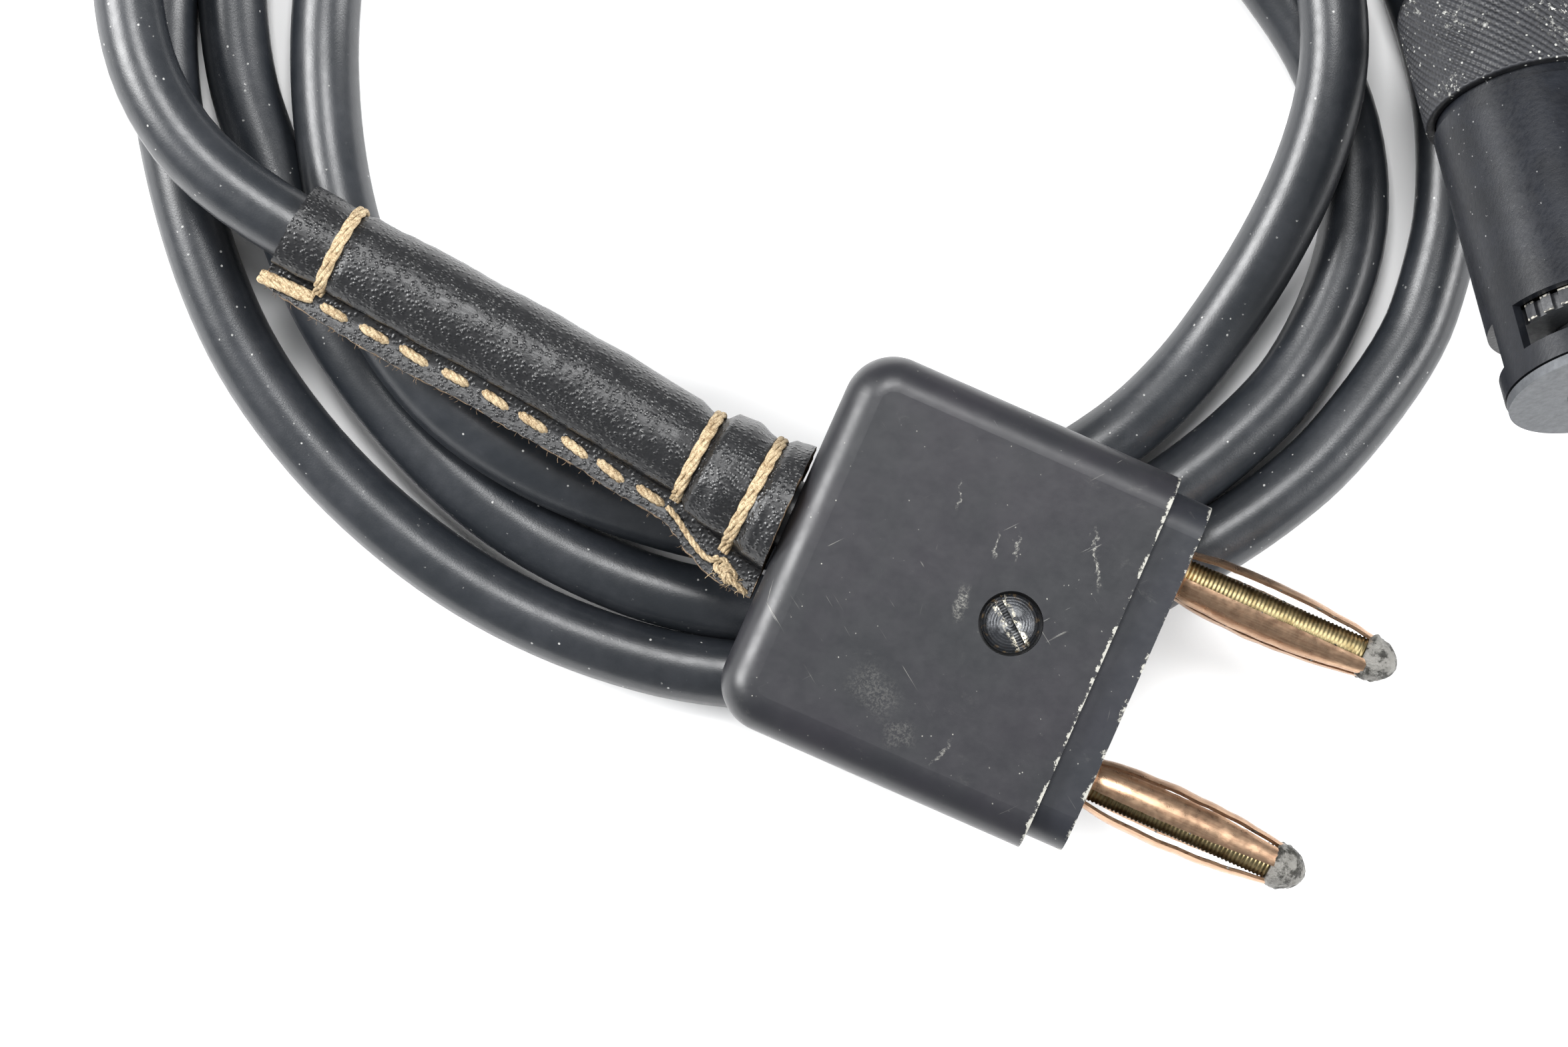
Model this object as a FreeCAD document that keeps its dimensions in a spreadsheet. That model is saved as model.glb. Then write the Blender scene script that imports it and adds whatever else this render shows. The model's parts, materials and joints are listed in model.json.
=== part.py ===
"""Electric cable shutter release: two-pin plug, sewn leather sleeve, rubber cord and plunger head.

Millimetres, +Z up, everything lying on the plane z = 0. The plug's pins point along +X.
Plug pieces are drawn from the middle of the plug's rear face, with X along the pins.
Head pieces are turned about their own Z axis, measured as a depth behind the head's end face.
Sleeve pieces are turned about their own Z axis, measured from the plug towards the cord.
"""
import FreeCAD, Part
import math
import os
import re

import Sketcher

V = FreeCAD.Vector
doc = FreeCAD.newDocument("ShutterRelease")

# ---------------------------------------------------------------- driving dimensions
SIZES = [
    # layout
    ("origin_east", 7.571, "X of the part's origin in the layout"),
    ("origin_north", 37.693, "Y of the part's origin in the layout"),
    ("plug_rear_east", 0.2, "plug rear face, X in the layout"),
    ("plug_middle_height", 12.6, "the plug lies flat on the coiled cord"),
    ("head_end_east", 56.7, "middle of the head's end face, X in the layout"),
    ("head_end_north", 36.87, "middle of the head's end face, Y in the layout"),
    ("head_end_height", 27.998, "middle of the head's end face above the table"),
    ("head_heading", -54.0, "direction the head points in, degrees from +X"),
    ("head_tilt", 22.0, "rise of the head towards its end face, degrees"),
    ("coil_east", -14.5, "middle of the coil, X in the layout"),
    ("coil_north", 40.5, "middle of the coil, Y in the layout"),
    # plug
    ("pin_pitch", 19.0, "standard spacing of the two plug pins"),
    ("shell_length", 28.5, "plug shell, rear to open edge"),
    ("shell_width", 33.5, "plug shell across both pins"),
    ("shell_thick", 13.0, "plug shell thickness"),
    ("shell_wall", 2.1, "plug shell wall"),
    ("shell_corner", 4.2, "rounding of the shell's two rear corners, in plan"),
    ("shell_edge", 3.0, "rounding of the shell's broad faces"),
    ("cord_hole", 3.15, "radius of the hole for the cord"),
    ("cord_side", 0.9, "the cord goes in beside the middle of the rear face"),
    ("screw_along", 20.3, "shell screw, distance from the rear face"),
    ("recess_radius", 2.7, "recess around the shell screw"),
    ("recess_depth", 1.5, "depth of that recess"),
    ("insert_start", 11.0, "rear of the pin carrier inside the shell"),
    ("insert_width", 28.8, "pin carrier inside the shell"),
    ("insert_thick", 8.4, "pin carrier inside the shell"),
    ("flange_width", 31.2, "pin carrier outside the shell"),
    ("flange_thick", 11.0, "pin carrier outside the shell"),
    ("flange_length", 3.35, "how far the pin carrier stands out"),
    ("flange_corner", 3.0, "rounding of the carrier's four long corners"),
    ("screw_radius", 1.45, "shell screw shank"),
    ("screw_head", 2.5, "shell screw head radius"),
    ("screw_rim", 0.75, "height of the head's rim"),
    ("screw_dome", 0.35, "rise of the domed head"),
    ("screw_tip", -0.8, "height of the screw's tip"),
    ("slot_width", 0.6, "screwdriver slot"),
    ("slot_depth", 0.7, "screwdriver slot"),
    ("slot_turn", 51.0, "way the slot points, degrees from +Y"),
    ("bush_radius", 2.3, "threaded bush in the carrier"),
    ("bush_length", 6.0, "threaded bush in the carrier"),
    ("core_radius", 1.5, "threaded core of a pin"),
    ("core_start", 8.0, "rear end of a pin core"),
    ("pin_length", 19.8, "pin from the carrier's face to its tip"),
    ("tip_length", 3.1, "solder tip of a pin"),
    ("tip_radius", 2.0, "solder tip of a pin"),
    ("washer_radius", 2.5, "ring at the foot of a pin, which holds the leaves"),
    ("washer_thick", 0.3, "ring at the foot of a pin"),
    ("leaf_angle", 62.0, "how far one leaf reaches round its pin, degrees"),
    ("leaf_thick", 0.3, "leaf spring of a pin"),
    ("leaf_foot", 2.15, "distance of a leaf's foot from the pin's axis"),
    ("leaf_bow", 2.8, "distance of a leaf's middle from the pin's axis"),
    ("leaf_end", 1.75, "distance of a leaf's end from the pin's axis"),
    ("nut_corner", 3.1, "corner radius of a pin's hexagon nut"),
    ("nut_thick", 2.4, "pin nut"),
    ("wire_radius", 0.6, "insulated wire inside plug and head"),
    ("wire_spread", 1.3, "how far a wire leaves the cord off its axis"),
    # leather sleeve
    ("sleeve_start", -0.8, "plug end of the sleeve, behind the plug's rear face"),
    ("mouth_east", -47.5, "cord end of the sleeve, X in the layout"),
    ("mouth_north", 6.1, "cord end of the sleeve, Y in the layout"),
    ("mouth_height", 11.1, "cord end of the sleeve above the table"),
    ("sleeve_length", 47.45, "sleeve from end to end"),
    ("sleeve_radius", 4.3, "outside of the sleeve"),
    ("sleeve_bore", 3.05, "inside of the sleeve"),
    ("collar_radius", 5.9, "flared collar against the plug"),
    ("collar_length", 2.35, "flared collar"),
    ("first_seat", 4.9, "leather under the first binding"),
    ("bulge_radius", 5.4, "leather standing up between the two bindings"),
    ("bulge_length", 5.4, "distance between the two bindings"),
    ("fin_reach", 6.0, "sewn edge, distance from the sleeve's axis"),
    ("gusset_reach", 7.4, "sewn edge where it swings out against the plug"),
    ("gusset_length", 5.0, "that wider stretch of the sewn edge"),
    ("fin_thick", 2.2, "two layers of leather sewn together"),
    ("fin_foot", 3.5, "where the sewn edge starts beside the cord"),
    ("thread_radius", 0.4, "waxed linen thread"),
    ("mouth_binding", 4.75, "last binding, distance from the cord end of the sleeve"),
    ("binding_width", 0.9, "one binding, two threads side by side"),
    ("stitch_count", 9, "running stitches along the edge"),
    ("stitch_length", 2.5, "one running stitch"),
    ("stitch_pitch", 3.85, "from one running stitch to the next"),
    ("stitch_reach", 4.5, "stitch line, distance from the sleeve's axis"),
    # head, radii
    ("head_radius", 8.3, "smooth front of the head"),
    ("head_bore", 7.4, "inside of the head"),
    ("neck_radius", 7.85, "threaded neck that the grip screws onto"),
    ("grip_radius", 8.75, "textured grip"),
    ("grip_bore", 7.95, "inside of the grip"),
    ("grip_hole", 5.2, "hole for the cord boot"),
    ("wheel_radius", 7.25, "coupling wheel"),
    ("hub_radius", 3.3, "hub of the coupling wheel"),
    ("hub_bore", 1.9, "threaded bore that the camera's socket screws into"),
    ("hub_throat", 1.3, "plunger's way through the wheel behind that thread"),
    ("hub_fit", 3.35, "hole for the hub in the end plate"),
    ("plunger_radius", 1.2, "plunger rod"),
    ("guide_bore", 1.25, "running fit of the plunger rod"),
    ("armature_radius", 3.7, "armature"),
    ("pole_radius", 3.75, "nose of the pole piece"),
    ("pole_bore", 1.4, "plunger's way through the pole piece"),
    ("spring_seat", 2.7, "counterbore for the return spring"),
    ("bobbin_bore", 3.85, "inside of the bobbin"),
    ("bobbin_tube", 4.3, "outside of the bobbin's tube"),
    ("bobbin_radius", 6.8, "flanges of the bobbin"),
    ("winding_radius", 6.6, "outside of the winding"),
    ("case_bore", 6.85, "inside of the magnet case"),
    ("case_radius", 7.35, "outside of the magnet case"),
    ("boot_flange", 7.6, "inner flange of the cord boot"),
    ("boot_neck", 5.15, "boot where it passes the grip"),
    ("boot_shoulder", 6.3, "boot behind the grip"),
    ("boot_tip", 3.9, "boot at its thin end"),
    ("boot_bore", 3.0, "inside of the boot"),
    ("spring_radius", 2.0, "return spring, middle of the wire"),
    ("spring_wire", 0.35, "return spring, radius of the wire"),
    ("spring_pitch", 2.0, "return spring"),
    ("spring_sides", 12, "flats round the drawn wire of the return spring"),
    # head, depths behind the end face
    ("plate_edge", 0.8, "rim of the end plate"),
    ("plate_back", 1.6, "back of the end plate"),
    ("plate_spigot", 2.3, "end plate's rim inside the head"),
    ("shell_front", 0.95, "front edge of the head shell"),
    ("window_front", 2.9, "windows over the coupling wheel"),
    ("window_back", 6.8, "windows over the coupling wheel"),
    ("window_angle", 97.0, "width of one window, degrees"),
    ("window_count", 3, "windows around the head"),
    ("window_turn", -21.0, "first window, degrees about the head's axis"),
    ("hub_front", 0.4, "front of the wheel's hub"),
    ("hub_thread_end", 3.4, "end of the threaded bore"),
    ("wheel_front", 5.35, "front of the coupling wheel"),
    ("wheel_back", 6.75, "back of the coupling wheel"),
    ("notch_count", 28, "notches around the wheel"),
    ("notch_width", 0.7, "one notch"),
    ("notch_depth", 0.45, "one notch"),
    ("guide_front", 7.0, "guide bush"),
    ("guide_back", 9.4, "guide bush"),
    ("case_front", 9.5, "magnet case and pole piece"),
    ("pole_flange", 10.7, "back of the pole piece's flange"),
    ("seat_depth", 11.5, "floor of the spring's counterbore"),
    ("pole_nose", 15.2, "end of the pole piece's nose"),
    ("bobbin_front", 10.8, "bobbin"),
    ("bobbin_back", 33.0, "bobbin"),
    ("bobbin_flange", 0.9, "thickness of the bobbin's flanges"),
    ("armature_front", 21.6, "armature at rest"),
    ("armature_back", 33.0, "armature at rest"),
    ("plunger_front", 3.6, "tip of the plunger at rest"),
    ("plunger_back", 25.0, "end of the plunger rod in the armature"),
    ("stop_front", 33.1, "back plate of the magnet"),
    ("stop_back", 34.2, "back plate of the magnet"),
    ("board_front", 34.3, "terminal board"),
    ("board_back", 35.1, "terminal board"),
    ("groove_front", 25.0, "end of the smooth front"),
    ("grip_front", 26.0, "start of the grip"),
    ("neck_back", 31.0, "end of the threaded neck"),
    ("grip_wall", 36.5, "inner face of the grip's end wall"),
    ("grip_back", 37.7, "outer face of the grip's end wall"),
    ("grip_round", 2.0, "rounded shoulder of the grip"),
    ("boot_front", 35.2, "front of the boot"),
    ("boot_straight", 58.5, "end of the boot's straight part"),
    ("boot_bend", 30.0, "radius in which boot and cord turn level"),
    ("cord_front", 36.6, "end of the cord inside the head"),
    # cord
    ("cord_radius", 2.95, "rubber cord"),
    ("coil_inner", 37.0, "inside of the coil"),
    ("coil_outer", 62.5, "outside of the coil"),
    ("coil_gap_inner", 49.5, "inside edge of the room left for the boot"),
    ("coil_gap_start", 17.0, "start of that room, degrees"),
    ("coil_gap_end", 124.0, "end of that room, degrees"),
]

sheet = doc.addObject("Spreadsheet::Sheet", "Sizes")
for row, (alias, value, note) in enumerate(SIZES, start=1):
    sheet.set("A%d" % row, alias)
    sheet.set("B%d" % row, str(value))
    sheet.setAlias("B%d" % row, alias)
    sheet.set("C%d" % row, note)
doc.recompute()
ALIASES = {alias for alias, value, note in SIZES}


def size(alias):
    """The number in the sheet's cell."""
    return float(sheet.get(alias))


def bound(text):
    """A plain expression with each alias written as the sheet's cell."""
    return re.sub(r"[a-z_]+", lambda m: "Sizes." + m.group() if m.group() in ALIASES else m.group(), text)


def value_of(text):
    """What an expression comes to."""
    return float(sheet.evalExpression(bound(text)))


# ---------------------------------------------------------------- places
ORIGIN = V(size("origin_east"), size("origin_north"), 0)
TURN_X = FreeCAD.Rotation(V(0, 1, 0), 90)  # a piece's own Z axis laid along +X

heading = math.radians(size("head_heading"))
tilt = math.radians(size("head_tilt"))
HEAD_AHEAD = V(math.cos(heading) * math.cos(tilt), math.sin(heading) * math.cos(tilt), math.sin(tilt))
HEAD_LEVEL = V(math.cos(heading), math.sin(heading), 0)
HEAD_END = V(size("head_end_east"), size("head_end_north"), size("head_end_height")) - ORIGIN
HEAD_SIDE = V(0, 0, 1).cross(HEAD_LEVEL)
HEAD_PLACE = FreeCAD.Placement(
    HEAD_END, FreeCAD.Rotation(HEAD_SIDE, HEAD_AHEAD.cross(HEAD_SIDE), HEAD_AHEAD * -1, "ZXY"))

PLUG_REAR = V(size("plug_rear_east"), 0, size("plug_middle_height")) - ORIGIN
PLUG_PLACE = FreeCAD.Placement(PLUG_REAR, FreeCAD.Rotation())

SLEEVE_START = PLUG_REAR + V(size("sleeve_start"), size("cord_side"), 0)
SLEEVE_MOUTH = V(size("mouth_east"), size("mouth_north"), size("mouth_height")) - ORIGIN
SLEEVE_AXIS = (SLEEVE_MOUTH - SLEEVE_START).normalize()
SLEEVE_SIDE = SLEEVE_AXIS.cross(V(0, 0, 1)).normalize()
SLEEVE_PLACE = FreeCAD.Placement(
    SLEEVE_START, FreeCAD.Rotation(SLEEVE_SIDE * -1, SLEEVE_SIDE.cross(SLEEVE_AXIS), SLEEVE_AXIS, "ZXY"))

# the leaves of each pin have shifted round it; degrees from +Z towards -Y
LEAVES_LEFT = (-90, 35, 103, 186)
LEAVES_RIGHT = (-92, -20, 90, 172)

COIL_MIDDLE = V(size("coil_east"), size("coil_north"), 0) - ORIGIN

pieces = []  # (object, placement) of every sub-part, in the order made


# ---------------------------------------------------------------- helpers
def bind(obj, **expressions):
    """Binds properties to the sheet; x, y and z are the object's place."""
    for name, text in expressions.items():
        path = "Placement.Base." + name if name in "xyz" else name
        obj.setExpression(path, bound(text))
    return obj


def keep(obj, label, place):
    """Names a finished sub-part and notes where it belongs."""
    obj.Label = label
    pieces.append((obj, place))
    return obj


def block(name, length, width, height, x="0", y="0", z="0"):
    """A box with its corner at x, y, z."""
    obj = doc.addObject("Part::Box", name)
    return bind(obj, Length=length, Width=width, Height=height, x=x, y=y, z=z)


def rod(name, radius, height, x="0", y="0", z="0", turn=None):
    """A cylinder on x, y, z, along Z unless it is turned."""
    obj = doc.addObject("Part::Cylinder", name)
    if turn:
        obj.Placement = FreeCAD.Placement(V(), turn)
    return bind(obj, Radius=radius, Height=height, x=x, y=y, z=z)


def cut(name, base, tool):
    """base less tool."""
    obj = doc.addObject("Part::Cut", name)
    obj.Base = base
    obj.Tool = tool
    return obj


def together(name, parts):
    """Several solids as one object; those that touch become one solid."""
    obj = doc.addObject("Part::MultiFuse", name)
    obj.Shapes = parts
    return obj


def plane_of(body, role):
    """One of a body's own origin planes or axes."""
    return next(item for item in body.Origin.OriginFeatures if item.Role == role)


def outline_sketch(body, name, corners):
    """A closed outline on the body's XZ plane; each corner is a pair of expressions (radius, depth)."""
    sketch = body.newObject("Sketcher::SketchObject", name)
    sketch.AttachmentSupport = [(plane_of(body, "XZ_Plane"), "")]
    sketch.MapMode = "FlatFace"
    points = [V(value_of(r), value_of(d), 0) for r, d in corners]
    for i, point in enumerate(points):
        sketch.addGeometry(Part.LineSegment(point, points[(i + 1) % len(points)]), False)
    for i, (across, along) in enumerate(corners):
        sketch.addConstraint(Sketcher.Constraint("Coincident", i, 2, (i + 1) % len(points), 1))
        for kind, text, axis in (("DistanceX", across, -2), ("DistanceY", along, -1)):
            if text == "0":
                sketch.addConstraint(Sketcher.Constraint("PointOnObject", i, 1, axis))
                continue
            number = sketch.addConstraint(Sketcher.Constraint(kind, -1, 1, i, 1, value_of(text)))
            sketch.renameConstraint(number, "%s%d" % (kind, i))
            sketch.setExpression("Constraints.%s%d" % (kind, i), bound(text))
    return sketch


def turned(label, corners, place):
    """A PartDesign body turned about its own Z axis."""
    body = doc.addObject("PartDesign::Body", label)
    turn = body.newObject("PartDesign::Revolution", label + "_turning")
    sketch = outline_sketch(body, label + "_outline", corners)
    turn.Profile = sketch
    turn.ReferenceAxis = (sketch, ["V_Axis"])
    turn.Angle = 360
    body.Tip = turn
    return keep(body, label, place)


def repeated(body, feature, count, name):
    """Repeats a feature around the body's Z axis."""
    pattern = body.newObject("PartDesign::PolarPattern", name)
    pattern.Originals = [feature]
    pattern.Axis = (plane_of(body, "Z_Axis"), [""])
    pattern.Angle = 360
    pattern.setExpression("Occurrences", bound(count))
    body.Tip = pattern
    return pattern


def edges_of(feature, wanted):
    """Names of the feature's edges whose middle passes the test."""
    names = []
    for number, edge in enumerate(feature.Shape.Edges, start=1):
        if wanted(edge.BoundBox):
            names.append("Edge%d" % number)
    return names


def rounded(body, feature, wanted, radius, name):
    """A PartDesign fillet on the edges that pass the test."""
    doc.recompute()
    fillet = body.newObject("PartDesign::Fillet", name)
    fillet.Base = (feature, edges_of(feature, wanted))
    fillet.setExpression("Radius", bound(radius))
    body.Tip = fillet
    doc.recompute()
    return fillet


def rounded_path(points, radius_share=0.45):
    """Straight runs joined by tangent arcs, each as large as its two runs allow."""
    edges = []
    radii = []
    start = points[0]
    for before, corner, after in zip(points, points[1:], points[2:]):
        back = (before - corner)
        ahead = (after - corner)
        half_turn = (math.pi - back.getAngle(ahead)) / 2
        reach = radius_share * min(back.Length, ahead.Length)
        radius = reach / math.tan(half_turn)
        back.normalize()
        ahead.normalize()
        middle = (back + ahead).normalize()
        into = corner + back * reach
        out = corner + ahead * reach
        top = corner + middle * (radius / math.cos(half_turn) - radius)
        edges.append(Part.LineSegment(start, into).toShape())
        edges.append(Part.Arc(into, top, out).toShape())
        radii.append(radius)
        start = out
    edges.append(Part.LineSegment(start, points[-1]).toShape())
    return Part.Wire(edges), radii


def tube_along(points, radius):
    """A round tube along a route, with its bend radii."""
    wire, radii = rounded_path(points)
    start = points[0]
    direction = points[1] - points[0]
    section = Part.Wire([Part.makeCircle(radius, start, direction)])
    tube = wire.makePipeShell([section], True, False)
    expected = math.pi * radius ** 2 * wire.Length
    if abs(tube.Volume - expected) > 0.01 * expected:
        raise ValueError("a tube's volume is off: %.1f, not %.1f" % (tube.Volume, expected))
    return tube, radii, wire.Length


def fixed_shape(label, shape, place):
    """A sub-part whose shape is built with Part's own functions."""
    obj = doc.addObject("Part::Feature", label)
    obj.Shape = shape
    return keep(obj, label, place)


# ---------------------------------------------------------------- plug
def make_plug_shell():
    """The hollow moulded shell, open towards the pins."""
    body = doc.addObject("PartDesign::Body", "plug_shell")
    outer = body.newObject("PartDesign::AdditiveBox", "shell_block")
    bind(outer, Length="shell_length", Width="shell_width", Height="shell_thick",
         y="-shell_width / 2", z="-shell_thick / 2")
    corners = rounded(body, outer, lambda box: box.XMax < 0.01 and box.ZLength > 1 and box.YLength < 0.01,
                      "shell_corner", "shell_rear_corners")
    half = size("shell_thick") / 2
    open_end = size("shell_length")
    rounded(body, corners,
            lambda box: abs(abs(box.ZMin) - half) < 0.01 and box.ZLength < 0.01 and box.XMin < open_end - 0.1,
            "shell_edge", "shell_soft_edges")
    cavity = body.newObject("PartDesign::SubtractiveBox", "shell_cavity")
    bind(cavity, Length="shell_length", Width="shell_width - 2 * shell_wall",
         Height="shell_thick - 2 * shell_wall", x="shell_wall",
         y="shell_wall - shell_width / 2", z="shell_wall - shell_thick / 2")
    entry = body.newObject("PartDesign::SubtractiveCylinder", "shell_cord_hole")
    entry.Placement = FreeCAD.Placement(V(), TURN_X)
    bind(entry, Radius="cord_hole", Height="2 * shell_wall", x="-shell_wall / 2", y="cord_side")
    recess = body.newObject("PartDesign::SubtractiveCylinder", "shell_screw_recess")
    bind(recess, Radius="recess_radius", Height="shell_thick", x="screw_along",
         z="shell_thick / 2 - recess_depth")
    hole = body.newObject("PartDesign::SubtractiveCylinder", "shell_screw_hole")
    bind(hole, Radius="screw_radius + 0.1", Height="shell_thick", x="screw_along", z="0")
    body.Tip = hole
    keep(body, "plug_shell", PLUG_PLACE)


def make_plug_insert():
    """The moulded block that carries the pins and closes the shell."""
    body = doc.addObject("PartDesign::Body", "plug_insert")
    flange = body.newObject("PartDesign::AdditiveBox", "insert_flange")
    bind(flange, Length="flange_length", Width="flange_width", Height="flange_thick",
         x="shell_length + 0.05", y="-flange_width / 2", z="-flange_thick / 2")
    rounded(body, flange, lambda box: box.XLength > 1, "flange_corner", "insert_corners")
    carrier = body.newObject("PartDesign::AdditiveBox", "insert_carrier")
    bind(carrier, Length="shell_length + 0.05 - insert_start", Width="insert_width",
         Height="insert_thick", x="insert_start", y="-insert_width / 2", z="-insert_thick / 2")
    for name, side in (("left", "1"), ("right", "-1")):
        bore = body.newObject("PartDesign::SubtractiveCylinder", "insert_bore_" + name)
        bore.Placement = FreeCAD.Placement(V(), TURN_X)
        bind(bore, Radius="core_radius + 0.03", Height="shell_length + flange_length",
             x="insert_start - 1", y=side + " * pin_pitch / 2")
    seat = body.newObject("PartDesign::SubtractiveCylinder", "insert_bush_hole")
    bind(seat, Radius="bush_radius", Height="bush_length + 1", x="screw_along",
         z="insert_thick / 2 - bush_length")
    body.Tip = seat
    keep(body, "plug_insert", PLUG_PLACE)


def make_screw():
    """The slotted screw that holds the shell on its insert, and the bush it goes into."""
    under_head = "(shell_thick / 2 - recess_depth)"
    body = turned("shell_screw", [
        ("0", "0"),
        ("screw_radius", "0"),
        ("screw_radius", under_head + " - screw_tip"),
        ("screw_head", under_head + " - screw_tip"),
        ("screw_head", under_head + " + screw_rim - screw_tip"),
        ("screw_head * 0.6", under_head + " + screw_rim + screw_dome * 0.75 - screw_tip"),
        ("0", under_head + " + screw_rim + screw_dome - screw_tip"),
    ], PLUG_PLACE * FreeCAD.Placement(V(size("screw_along"), 0, size("screw_tip")),
                                      FreeCAD.Rotation(V(0, 0, 1), size("slot_turn"))))
    slot = body.newObject("PartDesign::SubtractiveBox", "screw_slot")
    bind(slot, Length="slot_width", Width="4 * screw_head", Height="2 * slot_depth",
         x="-slot_width / 2", y="-2 * screw_head",
         z=under_head + " + screw_rim + screw_dome - screw_tip - slot_depth")
    body.Tip = slot
    bush = rod("bush_outside", "bush_radius", "bush_length")
    bore = rod("bush_bore", "screw_radius", "bush_length + 2", z="-1")
    keep(cut("bush_cut", bush, bore), "screw_bush",
         PLUG_PLACE * FreeCAD.Placement(V(size("screw_along"), 0, value_of("insert_thick / 2 - bush_length")),
                                        FreeCAD.Rotation()))


def leaf_shape(angle):
    """One bowed leaf spring, rolled about the pin's axis (X), with its middle at an angle from +Z."""
    foot = value_of("shell_length + 0.05 + flange_length + washer_thick")
    end = value_of("shell_length + 0.05 + flange_length + pin_length - tip_length")
    thick = size("leaf_thick")
    middle = foot + 0.45 * (end - foot)
    inner = [
        V(foot, 0, size("leaf_foot")),
        V(middle, 0, size("leaf_bow") - thick),
        V(end, 0, size("leaf_end")),
    ]
    outer = [point + V(0, 0, thick) for point in inner]
    edges = [
        Part.Arc(*inner).toShape(),
        Part.LineSegment(inner[2], outer[2]).toShape(),
        Part.Arc(*reversed(outer)).toShape(),
        Part.LineSegment(outer[0], inner[0]).toShape(),
    ]
    leaf = Part.Face(Part.Wire(edges)).revolve(V(), V(1, 0, 0), size("leaf_angle"))
    leaf.rotate(V(), V(1, 0, 0), angle - size("leaf_angle") / 2)
    return leaf


def make_pin(name, side, leaf_turns):
    """A split contact pin: threaded core, washer, four leaves, solder tip and nut."""
    face = "shell_length + 0.05 + flange_length"
    axis_y = side * size("pin_pitch") / 2
    place = PLUG_PLACE * FreeCAD.Placement(V(0, axis_y, 0), FreeCAD.Rotation())
    turned("pin_core_" + name, [
        ("0", "core_start"),
        ("core_radius", "core_start"),
        ("core_radius", face + " + pin_length - tip_length"),
        ("0", face + " + pin_length - tip_length"),
    ], place * FreeCAD.Placement(V(), TURN_X))
    ring = rod("washer_outside_" + name, "washer_radius", "washer_thick")
    hole = rod("washer_bore_" + name, "core_radius", "washer_thick + 2", z="-1")
    keep(cut("washer_cut_" + name, ring, hole), "pin_washer_" + name,
         place * FreeCAD.Placement(V(value_of(face), 0, 0), TURN_X))
    leaves = Part.makeCompound([leaf_shape(turn) for turn in leaf_turns])
    fixed_shape("pin_springs_" + name, leaves, place)
    turned("pin_tip_" + name, [
        ("0", "0"),
        ("tip_radius", "0"),
        ("tip_radius * 1.03", "tip_length * 0.35"),
        ("tip_radius * 0.82", "tip_length * 0.75"),
        ("tip_radius * 0.4", "tip_length * 0.97"),
        ("0", "tip_length"),
    ], place * FreeCAD.Placement(V(value_of(face + " + pin_length - tip_length"), 0, 0), TURN_X))
    hexagon = doc.addObject("Part::Prism", "nut_outside_" + name)
    hexagon.Polygon = 6
    bind(hexagon, Circumradius="nut_corner", Height="nut_thick")
    thread = rod("nut_bore_" + name, "core_radius", "nut_thick + 2", z="-1")
    keep(cut("nut_cut_" + name, hexagon, thread), "pin_nut_" + name,
         place * FreeCAD.Placement(V(value_of("insert_start - nut_thick"), 0, 0), TURN_X))


def make_plug_wires():
    """The cord's two conductors, spread out to the rear ends of the pins."""
    start = value_of("shell_wall + 0.8")
    tubes = []
    for side in (1, -1):
        spread = size("wire_spread") * side
        reach = size("pin_pitch") / 2 * side
        entry = size("cord_side")
        route = [V(start, entry + spread, 0), V(start + 1.6, entry + spread * 1.5, 0),
                 V(start + 3.0, reach * 0.62 + entry / 2, 0),
                 V(start + 3.4, reach * 0.9, 0), V(size("core_start") - 0.3, reach, 0)]
        tubes.append(tube_along(route, size("wire_radius"))[0])
    fixed_shape("plug_wires", Part.makeCompound(tubes), PLUG_PLACE)


# ---------------------------------------------------------------- leather sleeve
def make_sleeve():
    """Leather wrapped round the cord, bulging between its bindings, with a sewn edge."""
    wrap = doc.addObject("PartDesign::Body", "sleeve_wrap")
    sketch = outline_sketch(wrap, "sleeve_outline", [
        ("sleeve_bore", "0"),
        ("collar_radius", "0"),
        ("first_seat", "collar_length"),
        ("first_seat", "collar_length + binding_width"),
        ("bulge_radius", "collar_length + bulge_length * 0.4"),
        ("bulge_radius", "collar_length + bulge_length * 0.75"),
        ("sleeve_radius", "collar_length + bulge_length"),
        ("sleeve_radius", "sleeve_length"),
        ("sleeve_bore", "sleeve_length"),
    ])
    turn = wrap.newObject("PartDesign::Revolution", "sleeve_turning")
    turn.Profile = sketch
    turn.ReferenceAxis = (sketch, ["V_Axis"])
    turn.Angle = 360
    wrap.Tip = turn
    fin = block("sleeve_fin", "fin_reach - fin_foot", "fin_thick", "sleeve_length",
                x="fin_foot", y="-fin_thick / 2")
    gusset = block("sleeve_gusset", "gusset_reach - fin_foot", "fin_thick", "gusset_length",
                   x="fin_foot", y="-fin_thick / 2")
    keep(together("sleeve_joined", [wrap, fin, gusset]), "leather_sleeve", SLEEVE_PLACE)


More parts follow.
